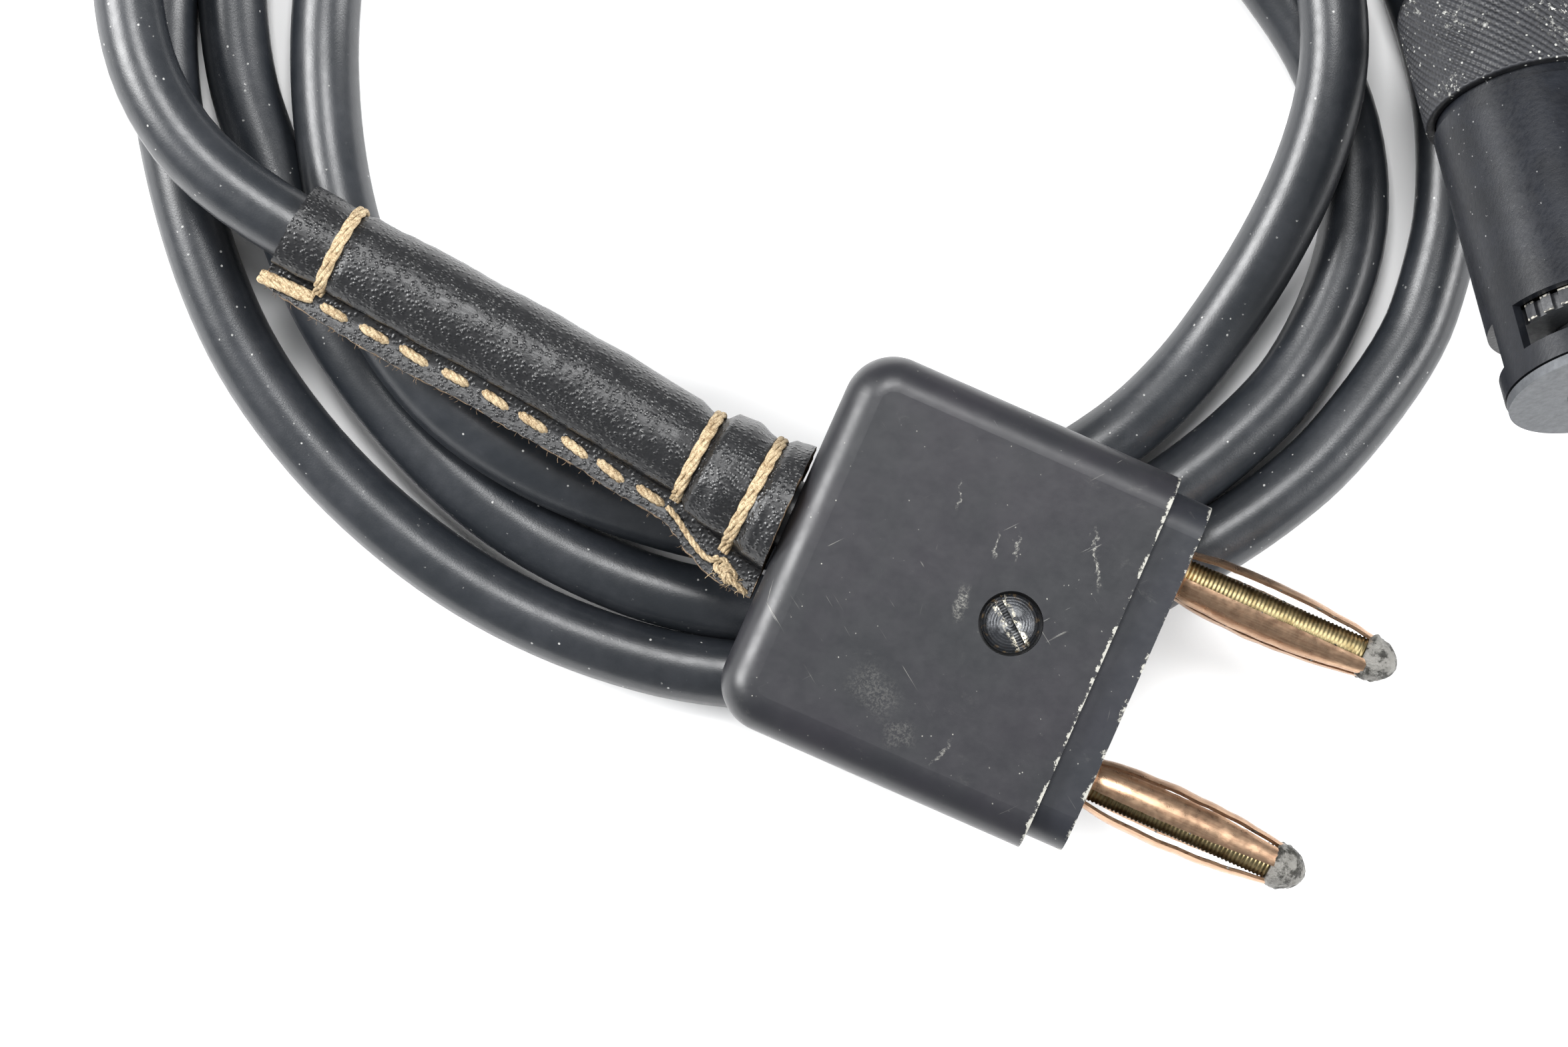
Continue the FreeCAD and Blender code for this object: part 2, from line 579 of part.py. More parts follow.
def make_stitching():
    """Three bindings round the sleeve and a row of running stitches on its sewn edge."""
    parts = []
    bindings = [
        ("first_seat", "collar_length"),
        ("sleeve_radius", "collar_length + bulge_length"),
        ("sleeve_radius", "sleeve_length - mouth_binding"),
    ]
    for number, (radius, depth) in enumerate(bindings):
        ring = rod("binding_%d" % number, radius + " + 2 * thread_radius", "binding_width", z=depth)
        hole = rod("binding_bore_%d" % number, radius, "3 * binding_width", z=depth + " - binding_width")
        band = cut("binding_cut_%d" % number, ring, hole)
        notch = block("binding_gap_%d" % number, "gusset_reach", "fin_thick", "3 * binding_width",
                      x="fin_foot", y="-fin_thick / 2", z=depth + " - binding_width")
        parts.append(cut("binding_open_%d" % number, band, notch))
    for number in range(int(size("stitch_count"))):
        depth = "collar_length + bulge_length + binding_width + %d * stitch_pitch" % number
        parts.append(block("stitch_%d" % number, "2 * thread_radius", "2 * thread_radius", "stitch_length",
                           x="stitch_reach", y="fin_thick / 2", z=depth))
    keep(together("stitching_joined", parts), "sleeve_stitching", SLEEVE_PLACE)


def make_covered_cord():
    """The stretch of cord inside the sleeve, which ends inside the plug."""
    radius = size("cord_radius")
    inside = PLUG_REAR + V(value_of("shell_wall + 0.6"), size("cord_side"), 0)
    route = [inside, SLEEVE_START, SLEEVE_MOUTH]
    tube = tube_along(route, radius)[0]
    fixed_shape("covered_cord", tube, FreeCAD.Placement())


# ---------------------------------------------------------------- head
def make_head_front():
    """End plate, shell with windows, coupling wheel and guide bush."""
    turned("end_plate", [
        ("hub_fit", "0"),
        ("head_radius - 0.1", "0"),
        ("head_radius - 0.1", "plate_edge"),
        ("head_bore - 0.02", "plate_edge"),
        ("head_bore - 0.02", "plate_spigot"),
        ("head_bore - 1", "plate_spigot"),
        ("head_bore - 1", "plate_back"),
        ("hub_fit", "plate_back"),
    ], HEAD_PLACE)

    shell = turned("head_shell", [
        ("head_bore", "shell_front"),
        ("head_radius", "shell_front"),
        ("head_radius", "groove_front"),
        ("neck_radius", "groove_front"),
        ("neck_radius", "neck_back"),
        ("head_bore", "neck_back"),
    ], HEAD_PLACE * FreeCAD.Placement(V(), FreeCAD.Rotation(V(0, 0, 1), size("window_turn"))))
    window = shell.newObject("PartDesign::Groove", "head_window")
    sketch = outline_sketch(shell, "head_window_outline", [
        ("head_bore - 1", "window_front"),
        ("head_radius + 1", "window_front"),
        ("head_radius + 1", "window_back"),
        ("head_bore - 1", "window_back"),
    ])
    window.Profile = sketch
    window.ReferenceAxis = (sketch, ["V_Axis"])
    window.setExpression("Angle", bound("window_angle"))
    repeated(shell, window, "window_count", "head_windows")

    wheel = turned("coupling_wheel", [
        ("hub_bore", "hub_front"),
        ("hub_radius", "hub_front"),
        ("hub_radius", "wheel_front"),
        ("wheel_radius", "wheel_front"),
        ("wheel_radius", "wheel_back"),
        ("hub_throat", "wheel_back"),
        ("hub_throat", "hub_thread_end"),
        ("hub_bore", "hub_thread_end"),
    ], HEAD_PLACE)
    notch = wheel.newObject("PartDesign::SubtractiveBox", "wheel_notch")
    bind(notch, Length="notch_depth + 1", Width="notch_width", Height="wheel_back",
         x="wheel_radius - notch_depth", y="-notch_width / 2", z="wheel_front - 1")
    repeated(wheel, notch, "notch_count", "wheel_notches")

    turned("guide_bush", [
        ("guide_bore", "guide_front"),
        ("head_bore - 0.02", "guide_front"),
        ("head_bore - 0.02", "guide_back"),
        ("guide_bore", "guide_back"),
    ], HEAD_PLACE)


def make_magnet():
    """Plunger, armature, return spring and the electromagnet that pushes them."""
    turned("plunger_rod", [
        ("0", "plunger_front"),
        ("plunger_radius * 0.6", "plunger_front"),
        ("plunger_radius", "plunger_front + 0.5"),
        ("plunger_radius", "plunger_back"),
        ("0", "plunger_back"),
    ], HEAD_PLACE)
    turned("armature", [
        ("plunger_radius", "armature_front"),
        ("armature_radius", "armature_front"),
        ("armature_radius", "armature_back"),
        ("0", "armature_back"),
        ("0", "plunger_back"),
        ("plunger_radius", "plunger_back"),
    ], HEAD_PLACE)
    turned("pole_piece", [
        ("pole_bore", "case_front"),
        ("case_bore", "case_front"),
        ("case_bore", "pole_flange"),
        ("pole_radius", "pole_flange"),
        ("pole_radius", "pole_nose"),
        ("spring_seat", "pole_nose"),
        ("spring_seat", "seat_depth"),
        ("pole_bore", "seat_depth"),
    ], HEAD_PLACE)
    turned("coil_bobbin", [
        ("bobbin_bore", "bobbin_front"),
        ("bobbin_radius", "bobbin_front"),
        ("bobbin_radius", "bobbin_front + bobbin_flange"),
        ("bobbin_tube", "bobbin_front + bobbin_flange"),
        ("bobbin_tube", "bobbin_back - bobbin_flange"),
        ("bobbin_radius", "bobbin_back - bobbin_flange"),
        ("bobbin_radius", "bobbin_back"),
        ("bobbin_bore", "bobbin_back"),
    ], HEAD_PLACE)
    turned("magnet_winding", [
        ("bobbin_tube", "bobbin_front + bobbin_flange"),
        ("winding_radius", "bobbin_front + bobbin_flange"),
        ("winding_radius", "bobbin_back - bobbin_flange"),
        ("bobbin_tube", "bobbin_back - bobbin_flange"),
    ], HEAD_PLACE)
    turned("magnet_case", [
        ("case_bore", "case_front"),
        ("case_radius", "case_front"),
        ("case_radius", "stop_back"),
        ("case_bore", "stop_back"),
    ], HEAD_PLACE)
    turned("magnet_back_plate", [
        ("0", "stop_front"),
        ("case_bore", "stop_front"),
        ("case_bore", "stop_back"),
        ("0", "stop_back"),
    ], HEAD_PLACE)
    wire = size("spring_wire")
    room = value_of("armature_front - seat_depth") - 2 * wire - 0.06
    helix = Part.makeHelix(size("spring_pitch"), room, size("spring_radius"))
    sides = int(size("spring_sides"))
    turns = [2 * math.pi * (side + 0.5) / sides for side in range(sides)]
    corners = [V(size("spring_radius") + wire * math.cos(turn), 0, wire * math.sin(turn)) for turn in turns]
    section = Part.makePolygon(corners + corners[:1])
    spring = Part.Wire(helix.Edges).makePipeShell([section], True, True)
    spring.translate(V(0, 0, size("seat_depth") + wire + 0.03))
    fixed_shape("return_spring", Part.makeCompound([spring]), HEAD_PLACE)


def make_head_rear():
    """Terminal board, wires, textured grip, cord boot and the cord inside the boot."""
    turned("terminal_board", [
        ("0", "board_front"),
        ("head_bore - 0.4", "board_front"),
        ("head_bore - 0.4", "board_back"),
        ("0", "board_back"),
    ], HEAD_PLACE)
    tubes = []
    for side in (1, -1):
        foot = V(0, side * size("wire_spread"), size("board_back"))
        tubes.append(Part.makeCylinder(size("wire_radius"), value_of("cord_front - board_back"), foot))
    fixed_shape("head_wires", Part.makeCompound(tubes), HEAD_PLACE)

    grip = turned("grip_barrel", [
        ("grip_bore", "grip_front"),
        ("grip_radius", "grip_front"),
        ("grip_radius", "grip_back"),
        ("grip_hole", "grip_back"),
        ("grip_hole", "grip_wall"),
        ("grip_bore", "grip_wall"),
    ], HEAD_PLACE)
    rim = size("grip_radius")
    back = size("grip_back")
    rounded(grip, grip.Tip, lambda box: abs(box.ZMin - back) < 0.01 and box.XMax > rim - 0.1,
            "grip_round", "grip_shoulder")

    # the boot's straight cone, then a bend that brings it level with the table
    bore = size("boot_bore")
    straight = size("boot_straight")
    cone = turned("boot_cone", [
        ("boot_bore", "boot_front"),
        ("boot_flange", "boot_front"),
        ("boot_flange", "grip_wall - 0.05"),
        ("boot_neck", "grip_wall - 0.05"),
        ("boot_neck", "grip_back + 0.05"),
        ("boot_shoulder", "grip_back + 0.05"),
        ("boot_shoulder", "grip_back + 2"),
        ("boot_tip", "boot_straight"),
        ("boot_bore", "boot_straight"),
    ], HEAD_PLACE)
    pieces.pop()
    doc.recompute()
    bend_middle = boot_bend()[0]
    section = Part.makeCircle(size("boot_tip"), V(0, 0, straight))
    hollow = Part.makeCircle(bore, V(0, 0, straight))
    wall = Part.Face(Part.Wire([section])).cut(Part.Face(Part.Wire([hollow])))
    bent_wall = wall.revolve(bend_middle, V(1, 0, 0), size("head_tilt"))
    boot = cone.Shape.fuse(bent_wall).removeSplitter()
    doc.removeObject(cone.Name)
    fixed_shape("cord_boot", boot, HEAD_PLACE)

    cord = Part.Face(Part.Wire([Part.makeCircle(size("cord_radius"), V(0, 0, size("cord_front")))]))
    straight_cord = cord.extrude(V(0, 0, straight - size("cord_front")))
    end = Part.Face(Part.Wire([Part.makeCircle(size("cord_radius"), V(0, 0, straight))]))
    bent_cord = end.revolve(bend_middle, V(1, 0, 0), size("head_tilt"))
    fixed_shape("booted_cord", straight_cord.fuse(bent_cord).removeSplitter(), HEAD_PLACE)


def boot_bend():
    """Middle of the boot's bend and its level end, in the head's own axes."""
    radius = size("boot_bend")
    straight = size("boot_straight")
    up = HEAD_PLACE.Rotation.inverted().multVec(HEAD_AHEAD.cross(HEAD_SIDE))
    sign = 1 if up.y > 0 else -1
    middle = V(0, sign * radius, straight)
    end = V(0, sign * radius * (1 - math.cos(tilt)), straight + radius * math.sin(tilt))
    return middle, end


# ---------------------------------------------------------------- free cord
def polar(degrees, radius, height):
    """A point of the coil."""
    angle = math.radians(degrees)
    return COIL_MIDDLE + V(radius * math.cos(angle), radius * math.sin(angle), height)


def make_cords():
    """The lead out of the sleeve, the coil and the tail into the head's boot."""
    radius = size("cord_radius")
    on_top = 3 * radius + 0.05
    lead_route = [
        SLEEVE_MOUTH,
        SLEEVE_MOUTH + SLEEVE_AXIS * 8.0,
        polar(-149.6, 57.1, on_top + 1.1),
        polar(-158.3, 59.0, on_top + 0.3),
        polar(-167.1, 59.0, on_top),
    ]
    lead, lead_radii, lead_length = tube_along(lead_route, radius)
    fixed_shape("cord_lead", lead, FreeCAD.Placement())

    height = 2 * radius
    ring = Part.makeCylinder(size("coil_outer"), height, COIL_MIDDLE)
    ring = ring.cut(Part.makeCylinder(size("coil_inner"), height, COIL_MIDDLE))
    gap_angle = size("coil_gap_end") - size("coil_gap_start")
    room = Part.makeCylinder(size("coil_outer") + 5, height, COIL_MIDDLE, V(0, 0, 1), gap_angle)
    room.rotate(COIL_MIDDLE, V(0, 0, 1), size("coil_gap_start"))
    room = room.cut(Part.makeCylinder(size("coil_gap_inner"), height, COIL_MIDDLE))
    fixed_shape("cord_coil", ring.cut(room), FreeCAD.Placement())

    tip = HEAD_PLACE.multVec(boot_bend()[1])
    rest = radius + 0.02
    gap_end = size("coil_gap_end")
    ahead = polar(gap_end - 90, 1, 0) - COIL_MIDDLE
    tail_route = [
        tip,
        tip - HEAD_LEVEL * 9.0,
        polar(73.5, 65.5, rest + 0.3),
        polar(82.0, 66.2, rest),
        polar(90.5, 66.8, rest),
        polar(98.5, 66.0, rest),
        polar(106.6, 64.2, rest),
        polar(gap_end, 59.5, rest) + ahead * 8.0,
        polar(gap_end, 59.5, rest),
    ]
    tail, tail_radii, tail_length = tube_along(tail_route, radius)
    fixed_shape("cord_tail", tail, FreeCAD.Placement())
    for name, radii, length in (("lead", lead_radii, lead_length), ("tail", tail_radii, tail_length)):
        print(name, "length %.1f," % length, "bend radii", ["%.1f" % item for item in radii])


# ---------------------------------------------------------------- the whole part
make_plug_shell()
make_plug_insert()
make_screw()
make_pin("left", 1, LEAVES_LEFT)
make_pin("right", -1, LEAVES_RIGHT)
make_plug_wires()
make_sleeve()
make_stitching()
make_covered_cord()
make_head_front()
make_magnet()
make_head_rear()
make_cords()

doc.recompute()
for piece, placement in pieces:
    piece.Placement = placement
doc.recompute()

for item in doc.Objects:
    if "Invalid" in item.State or "Error" in item.State:
        raise RuntimeError("%s did not compute: %s" % (item.Name, item.State))
for piece, placement in pieces:
    if piece.Shape.isNull() or not piece.Shape.isValid():
        raise RuntimeError("%s has no valid shape" % piece.Label)

os.makedirs("parts", exist_ok=True)
for piece, placement in pieces:
    piece.Shape.exportStep("parts/%s.step" % piece.Label)
print(len(pieces), "sub-parts written")
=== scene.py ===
"""Electric cable shutter release, laid on a white table: plug, sewn leather sleeve, cord and plunger head."""
import json
import logging
import math
import random
from dataclasses import dataclass, field
from enum import Enum
from typing import Callable, ClassVar, Sequence

import bpy
from mathutils import Matrix, Vector, noise


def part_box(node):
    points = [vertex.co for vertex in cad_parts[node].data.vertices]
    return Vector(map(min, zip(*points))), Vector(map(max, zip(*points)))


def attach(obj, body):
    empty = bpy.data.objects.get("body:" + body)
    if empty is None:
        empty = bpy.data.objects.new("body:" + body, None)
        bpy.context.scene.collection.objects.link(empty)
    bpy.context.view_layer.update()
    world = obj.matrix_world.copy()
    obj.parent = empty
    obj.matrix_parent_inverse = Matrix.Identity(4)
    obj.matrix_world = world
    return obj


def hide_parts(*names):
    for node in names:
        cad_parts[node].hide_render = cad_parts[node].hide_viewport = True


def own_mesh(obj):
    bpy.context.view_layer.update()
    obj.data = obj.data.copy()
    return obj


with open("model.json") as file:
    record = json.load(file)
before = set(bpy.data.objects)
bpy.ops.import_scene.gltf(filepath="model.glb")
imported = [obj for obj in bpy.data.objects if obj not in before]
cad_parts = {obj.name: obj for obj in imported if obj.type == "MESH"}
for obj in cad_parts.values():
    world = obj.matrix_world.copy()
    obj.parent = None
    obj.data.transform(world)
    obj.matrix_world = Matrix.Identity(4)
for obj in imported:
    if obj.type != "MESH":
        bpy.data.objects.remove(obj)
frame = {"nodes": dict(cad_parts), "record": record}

LOG = logging.getLogger("cable_release")
MM = 0.001
PER_METRE = 1000.0
UP = Vector((0, 0, 1))
Material = bpy.types.Material
Socket = bpy.types.NodeSocket
Span = tuple[float, float]
Triple = tuple[float, float, float]
Face = tuple[int, ...]
Profile = Sequence[Span]
Shaper = Callable[[float, float, float], float]


class Axis(Enum):
    """Row axes that a shader's mask can run along."""

    X = 0
    Y = 1
    Z = 2


@dataclass(frozen=True)
class Place:
    """Where a sub-assembly sits: an origin, the way it runs, and which way is up across it."""

    origin: Vector
    along: Vector
    up: Vector

    @property
    def side(self) -> Vector:
        """The third direction, square to the other two."""
        return self.along.cross(self.up).normalized()

    def point(self, depth: float, across: float = 0.0, high: float = 0.0) -> Vector:
        """A point of the sub-assembly in the row frame.

        Args:
            depth: distance along, in millimetres.
            across: distance towards the side, in millimetres.
            high: distance towards up, in millimetres.

        Returns:
            The point, in metres.
        """
        return self.origin + (self.along * depth + self.side * across + self.up * high) * MM

    def polar(self, depth: float, angle: float, radius: float) -> Vector:
        """A point at an angle from up towards the side, and at a radius from the axis."""
        return self.point(depth, math.sin(angle) * radius, math.cos(angle) * radius)


def square_place(origin: Vector, along: Vector, up: Vector) -> Place:
    """A place whose up is made square to its direction.

    Args:
        origin: its origin in the row frame.
        along: the direction it runs in.
        up: roughly which way is up.

    Returns:
        The place.
    """
    ahead = along.normalized()
    return Place(origin, ahead, (up - ahead * up.dot(ahead)).normalized())


# ------------------------------------------------------------------ finishes
class Join(Enum):
    """Ways in which the math node joins two numbers."""

    PLUS = "ADD"
    MINUS = "SUBTRACT"
    TIMES = "MULTIPLY"
    LARGER = "MAXIMUM"
    POWER = "POWER"
    SINE = "SINE"
    SIZE = "ABSOLUTE"


class ShaderGraph:
    """A material under construction, with short calls for the nodes that finishes use."""

    def __init__(self, name: str) -> None:
        """Starts a material with one principled shader.

        Args:
            name: the material's name.
        """
        self.material = bpy.data.materials.new(name)
        self.material.use_nodes = True
        self.tree = self.material.node_tree
        self.shader = self.tree.nodes["Principled BSDF"]

    def node(self, kind: str, **settings: object) -> bpy.types.Node:
        """Adds a node.

        Args:
            kind: its type.
            settings: its properties by name.

        Returns:
            The node.
        """
        made = self.tree.nodes.new(kind)
        for key, value in settings.items():
            setattr(made, key, value)
        return made

    def feed(self, socket: Socket, value: object) -> None:
        """Links an output to a socket, or sets the socket's own value.

        Args:
            socket: the input.
            value: an output, a number, a vector or a colour.
        """
        if isinstance(value, bpy.types.NodeSocket):
            self.tree.links.new(value, socket)
        elif isinstance(value, tuple) and len(value) == 3 and len(socket.default_value) == 4:
            socket.default_value = (*value, 1.0)
        else:
            socket.default_value = value

    def feed_all(self, made: bpy.types.Node, values: dict[str, object]) -> None:
        """Feeds several of a node's inputs.

        Args:
            made: the node.
            values: what goes into each input, by the input's name.
        """
        for key, value in values.items():
            self.feed(made.inputs[key], value)

    def place(self, stretch: Triple = (1.0, 1.0, 1.0), turn: Matrix | None = None) -> Socket:
        """Object coordinates in millimetres, turned and then stretched.

        Args:
            stretch: how much finer the pattern is along each turned axis.
            turn: rotation from the row frame to the pattern's own axes.

        Returns:
            The vector output.
        """
        coordinates = self.node("ShaderNodeTexCoord").outputs["Object"]
        turned = self.node("ShaderNodeMapping", vector_type="POINT")
        self.feed(turned.inputs["Vector"], coordinates)
        if turn is not None:
            turned.inputs["Rotation"].default_value = turn.to_euler("XYZ")
        turned.inputs["Scale"].default_value = (PER_METRE, PER_METRE, PER_METRE)
        stretched = self.node("ShaderNodeMapping", vector_type="POINT")
        self.feed(stretched.inputs["Vector"], turned.outputs["Vector"])
        stretched.inputs["Scale"].default_value = stretch
        return stretched.outputs["Vector"]

    def local(self, place: Place) -> tuple[Socket, ...]:
        """Distance along, towards the side and towards up in a sub-assembly, in millimetres.

        Args:
            place: the sub-assembly's place.

        Returns:
            Three outputs.
        """
        coordinates = self.node("ShaderNodeTexCoord").outputs["Object"]
        moved = self.node("ShaderNodeVectorMath", operation="SUBTRACT")
        self.feed(moved.inputs[0], coordinates)
        moved.inputs[1].default_value = place.origin
        outputs = []
        for direction in (place.along, place.side, place.up):
            dot = self.node("ShaderNodeVectorMath", operation="DOT_PRODUCT")
            self.feed(dot.inputs[0], moved.outputs[0])
            dot.inputs[1].default_value = direction / MM
            outputs.append(dot.outputs["Value"])
        return tuple(outputs)

    def join(self, way: Join, first: object, second: object = 0.0) -> Socket:
        """Joins two numbers.

        Args:
            way: the operation.
            first: an output or a number.
            second: another one, which some operations don't use.

        Returns:
            The result's output.
        """
        made = self.node("ShaderNodeMath", operation=way.value)
        self.feed(made.inputs[0], first)
        self.feed(made.inputs[1], second)
        return made.outputs[0]

    def plus(self, first: object, second: object) -> Socket:
        """The sum of two numbers."""
        return self.join(Join.PLUS, first, second)

    def minus(self, first: object, second: object) -> Socket:
        """The first number less the second."""
        return self.join(Join.MINUS, first, second)

    def times(self, first: object, second: object) -> Socket:
        """The product of two numbers."""
        return self.join(Join.TIMES, first, second)

    def larger(self, first: object, second: object) -> Socket:
        """The larger of two numbers."""
        return self.join(Join.LARGER, first, second)

    def size(self, value: object) -> Socket:
        """A number without its sign."""
        return self.join(Join.SIZE, value)

    def radial(self, across: Socket, high: Socket) -> Socket:
        """Distance from a sub-assembly's axis, from the distances towards its side and its up."""
        squares = self.plus(self.times(across, across), self.times(high, high))
        return self.join(Join.POWER, squares, 0.5)

    def noise(self, vector: Socket, scale: float, detail: float = 4.0, rough: float = 0.55,
              twist: float = 0.0) -> Socket:
        """Fractal noise.

        Args:
            vector: pattern coordinates.
            scale: how fine its largest features are.
            detail: how many finer layers it has.
            rough: how strong each finer layer is.
            twist: how far it is bent by itself.

        Returns:
            An output between 0 and 1.
        """
        made = self.node("ShaderNodeTexNoise")
        self.feed_all(made, {"Vector": vector, "Scale": scale, "Detail": detail,
                             "Roughness": rough, "Distortion": twist})
        return made.outputs["Fac"]

    def cells(self, vector: Socket, scale: float) -> Socket:
        """Distance to scattered points.

        Args:
            vector: pattern coordinates.
            scale: how close the points lie.

        Returns:
            The distance's output.
        """
        made = self.node("ShaderNodeTexVoronoi", feature="F1")
        self.feed_all(made, {"Vector": vector, "Scale": scale, "Randomness": 1.0})
        return made.outputs["Distance"]

    def ramp(self, value: Socket, low: float, high: float, start: float = 0.0, end: float = 1.0) -> Socket:
        """Maps one range to another, smoothly and within bounds.

        Args:
            value: what is mapped.
            low: the value that becomes start.
            high: the value that becomes end.
            start: the result at and below low.
            end: the result at and above high.

        Returns:
            The result's output.
        """
        made = self.node("ShaderNodeMapRange", interpolation_type="SMOOTHSTEP")
        self.feed_all(made, {"Value": value, "From Min": low, "From Max": high,
                             "To Min": start, "To Max": end})
        return made.outputs["Result"]

    def dots(self, vector: Socket, scale: float, core: float, rim: float) -> Socket:
        """Scattered round dots.

        Args:
            vector: pattern coordinates.
            scale: how close the dots lie.
            core: radius within which a dot is full, as a share of a cell.
            rim: radius at which it has faded out.

        Returns:
            A share between 0 and 1.
        """
        return self.ramp(self.cells(vector, scale), core, rim, 1.0, 0.0)

    def blend(self, share: object, first: object, second: object) -> Socket:
        """A colour between two colours.

        Args:
            share: how much of the second colour there is.
            first: a colour or an output.
            second: another one.

        Returns:
            The colour's output.
        """
        made = self.node("ShaderNodeMix", data_type="RGBA")
        for socket, value in zip((made.inputs[0], made.inputs[6], made.inputs[7]), (share, first, second)):
            self.feed(socket, value)
        return made.outputs[2]

    def component(self, vector: Socket, axis: Axis) -> Socket:
        """One coordinate of a vector.

        Args:
            vector: the vector's output.
            axis: which coordinate.

        Returns:
            The coordinate's output.
        """
        made = self.node("ShaderNodeSeparateXYZ")
        self.feed(made.inputs[0], vector)
        return made.outputs[axis.value]

    def relief(self, *layers: tuple[Socket, float]) -> None:
        """Chains bumps onto the shader's normal.

        Args:
            layers: pairs of a height between 0 and 1 and its depth in millimetres.
        """
        before = None
        for height, depth in layers:
            made = self.node("ShaderNodeBump")
            self.feed(made.inputs["Height"], height)
            made.inputs["Strength"].default_value = 1.0
            made.inputs["Distance"].default_value = depth * MM
            if before is not None:
                self.feed(made.inputs["Normal"], before)
            before = made.outputs["Normal"]
        self.feed(self.shader.inputs["Normal"], before)

    def finish(self, color: object, rough: object, metal: float = 0.0, specular: float = 0.5) -> None:
        """Sets the shader's main inputs.

        Args:
            color: a colour or its output.
            rough: a roughness or its output.
            metal: 1 for bare metal, 0 for anything else.
            specular: the strength of its gloss.
        """
        self.feed(self.shader.inputs["Base Color"], color)
        self.feed(self.shader.inputs["Roughness"], rough)
        self.shader.inputs["Metallic"].default_value = metal
        self.shader.inputs["Specular IOR Level"].default_value = specular


class Finish:
    """What every finish has: a name, and a way to paint the material of that name."""

    name: str

    def build(self) -> Material:
        """Makes the material.

        Returns:
            The material, named like the finish.
        """
        graph = ShaderGraph(self.name)
        self.paint(graph, graph.place())
        return graph.material

    def paint(self, graph: ShaderGraph, where: Socket) -> None:
        """Sets the shader up from pattern coordinates; each finish has its own way."""
        raise NotImplementedError


@dataclass(frozen=True)
class Rubber(Finish):
    """Smooth black rubber with dust on it."""

    name: str = "cord_rubber"
    color: Triple = (0.010, 0.012, 0.015)
    dusty: Triple = (0.019, 0.021, 0.025)
    speck: Triple = (0.34, 0.34, 0.33)
    rough: Span = (0.32, 0.38)

    def paint(self, graph: ShaderGraph, where: Socket) -> None:
        """Lays specks of dust over cloudy black.

        Args:
            graph: the material under construction.
            where: its pattern coordinates.
        """
        cloud = graph.ramp(graph.noise(where, scale=0.16, detail=7, rough=0.7), 0.38, 0.72)
        base = graph.blend(cloud, self.color, self.dusty)
        patch = graph.ramp(graph.noise(where, scale=0.6, rough=0.7), 0.545, 0.63)
        dust = graph.times(graph.dots(where, scale=1.3, core=0.09, rim=0.17), patch)
        color = graph.blend(dust, base, self.speck)
        graph.relief((graph.noise(where, scale=0.35, detail=3), 0.012),
                     (graph.noise(where, scale=6.0), 0.010))
        rough = graph.ramp(graph.noise(where, scale=0.9, detail=5), 0.3, 0.75, *self.rough)
        graph.finish(color, rough, specular=0.55)


@dataclass(frozen=True)
class Scuff:
    """One pale scuff on a flat face, running on from where it starts."""

    start: Place
    length: float
    width: float
    strength: float
    wander: float = 1.6
    core: float = 0.3
    fade: float = 0.35

    def mask(self, graph: ShaderGraph, where: Socket) -> Socket:
        """The scuff's broken line.

        Args:
            graph: the material under construction.
            where: its pattern coordinates.

        Returns:
            A share between 0 and 1.
        """
        run, aside, _ = graph.local(self.start)
        bent = graph.times(graph.minus(graph.noise(where, scale=0.9, detail=3), 0.5), self.wander)
        apart = graph.size(graph.plus(aside, bent))
        line = graph.ramp(apart, self.width * self.core, self.width, self.strength, 0.0)
        ends = graph.times(graph.ramp(run, 0.0, self.length * self.fade),
                           graph.ramp(run, self.length * (1 - self.fade), self.length, 1.0, 0.0))
        broken = graph.ramp(graph.noise(where, scale=3.4, detail=6, rough=0.85), 0.46, 0.58)
        return graph.times(graph.times(line, ends), broken)


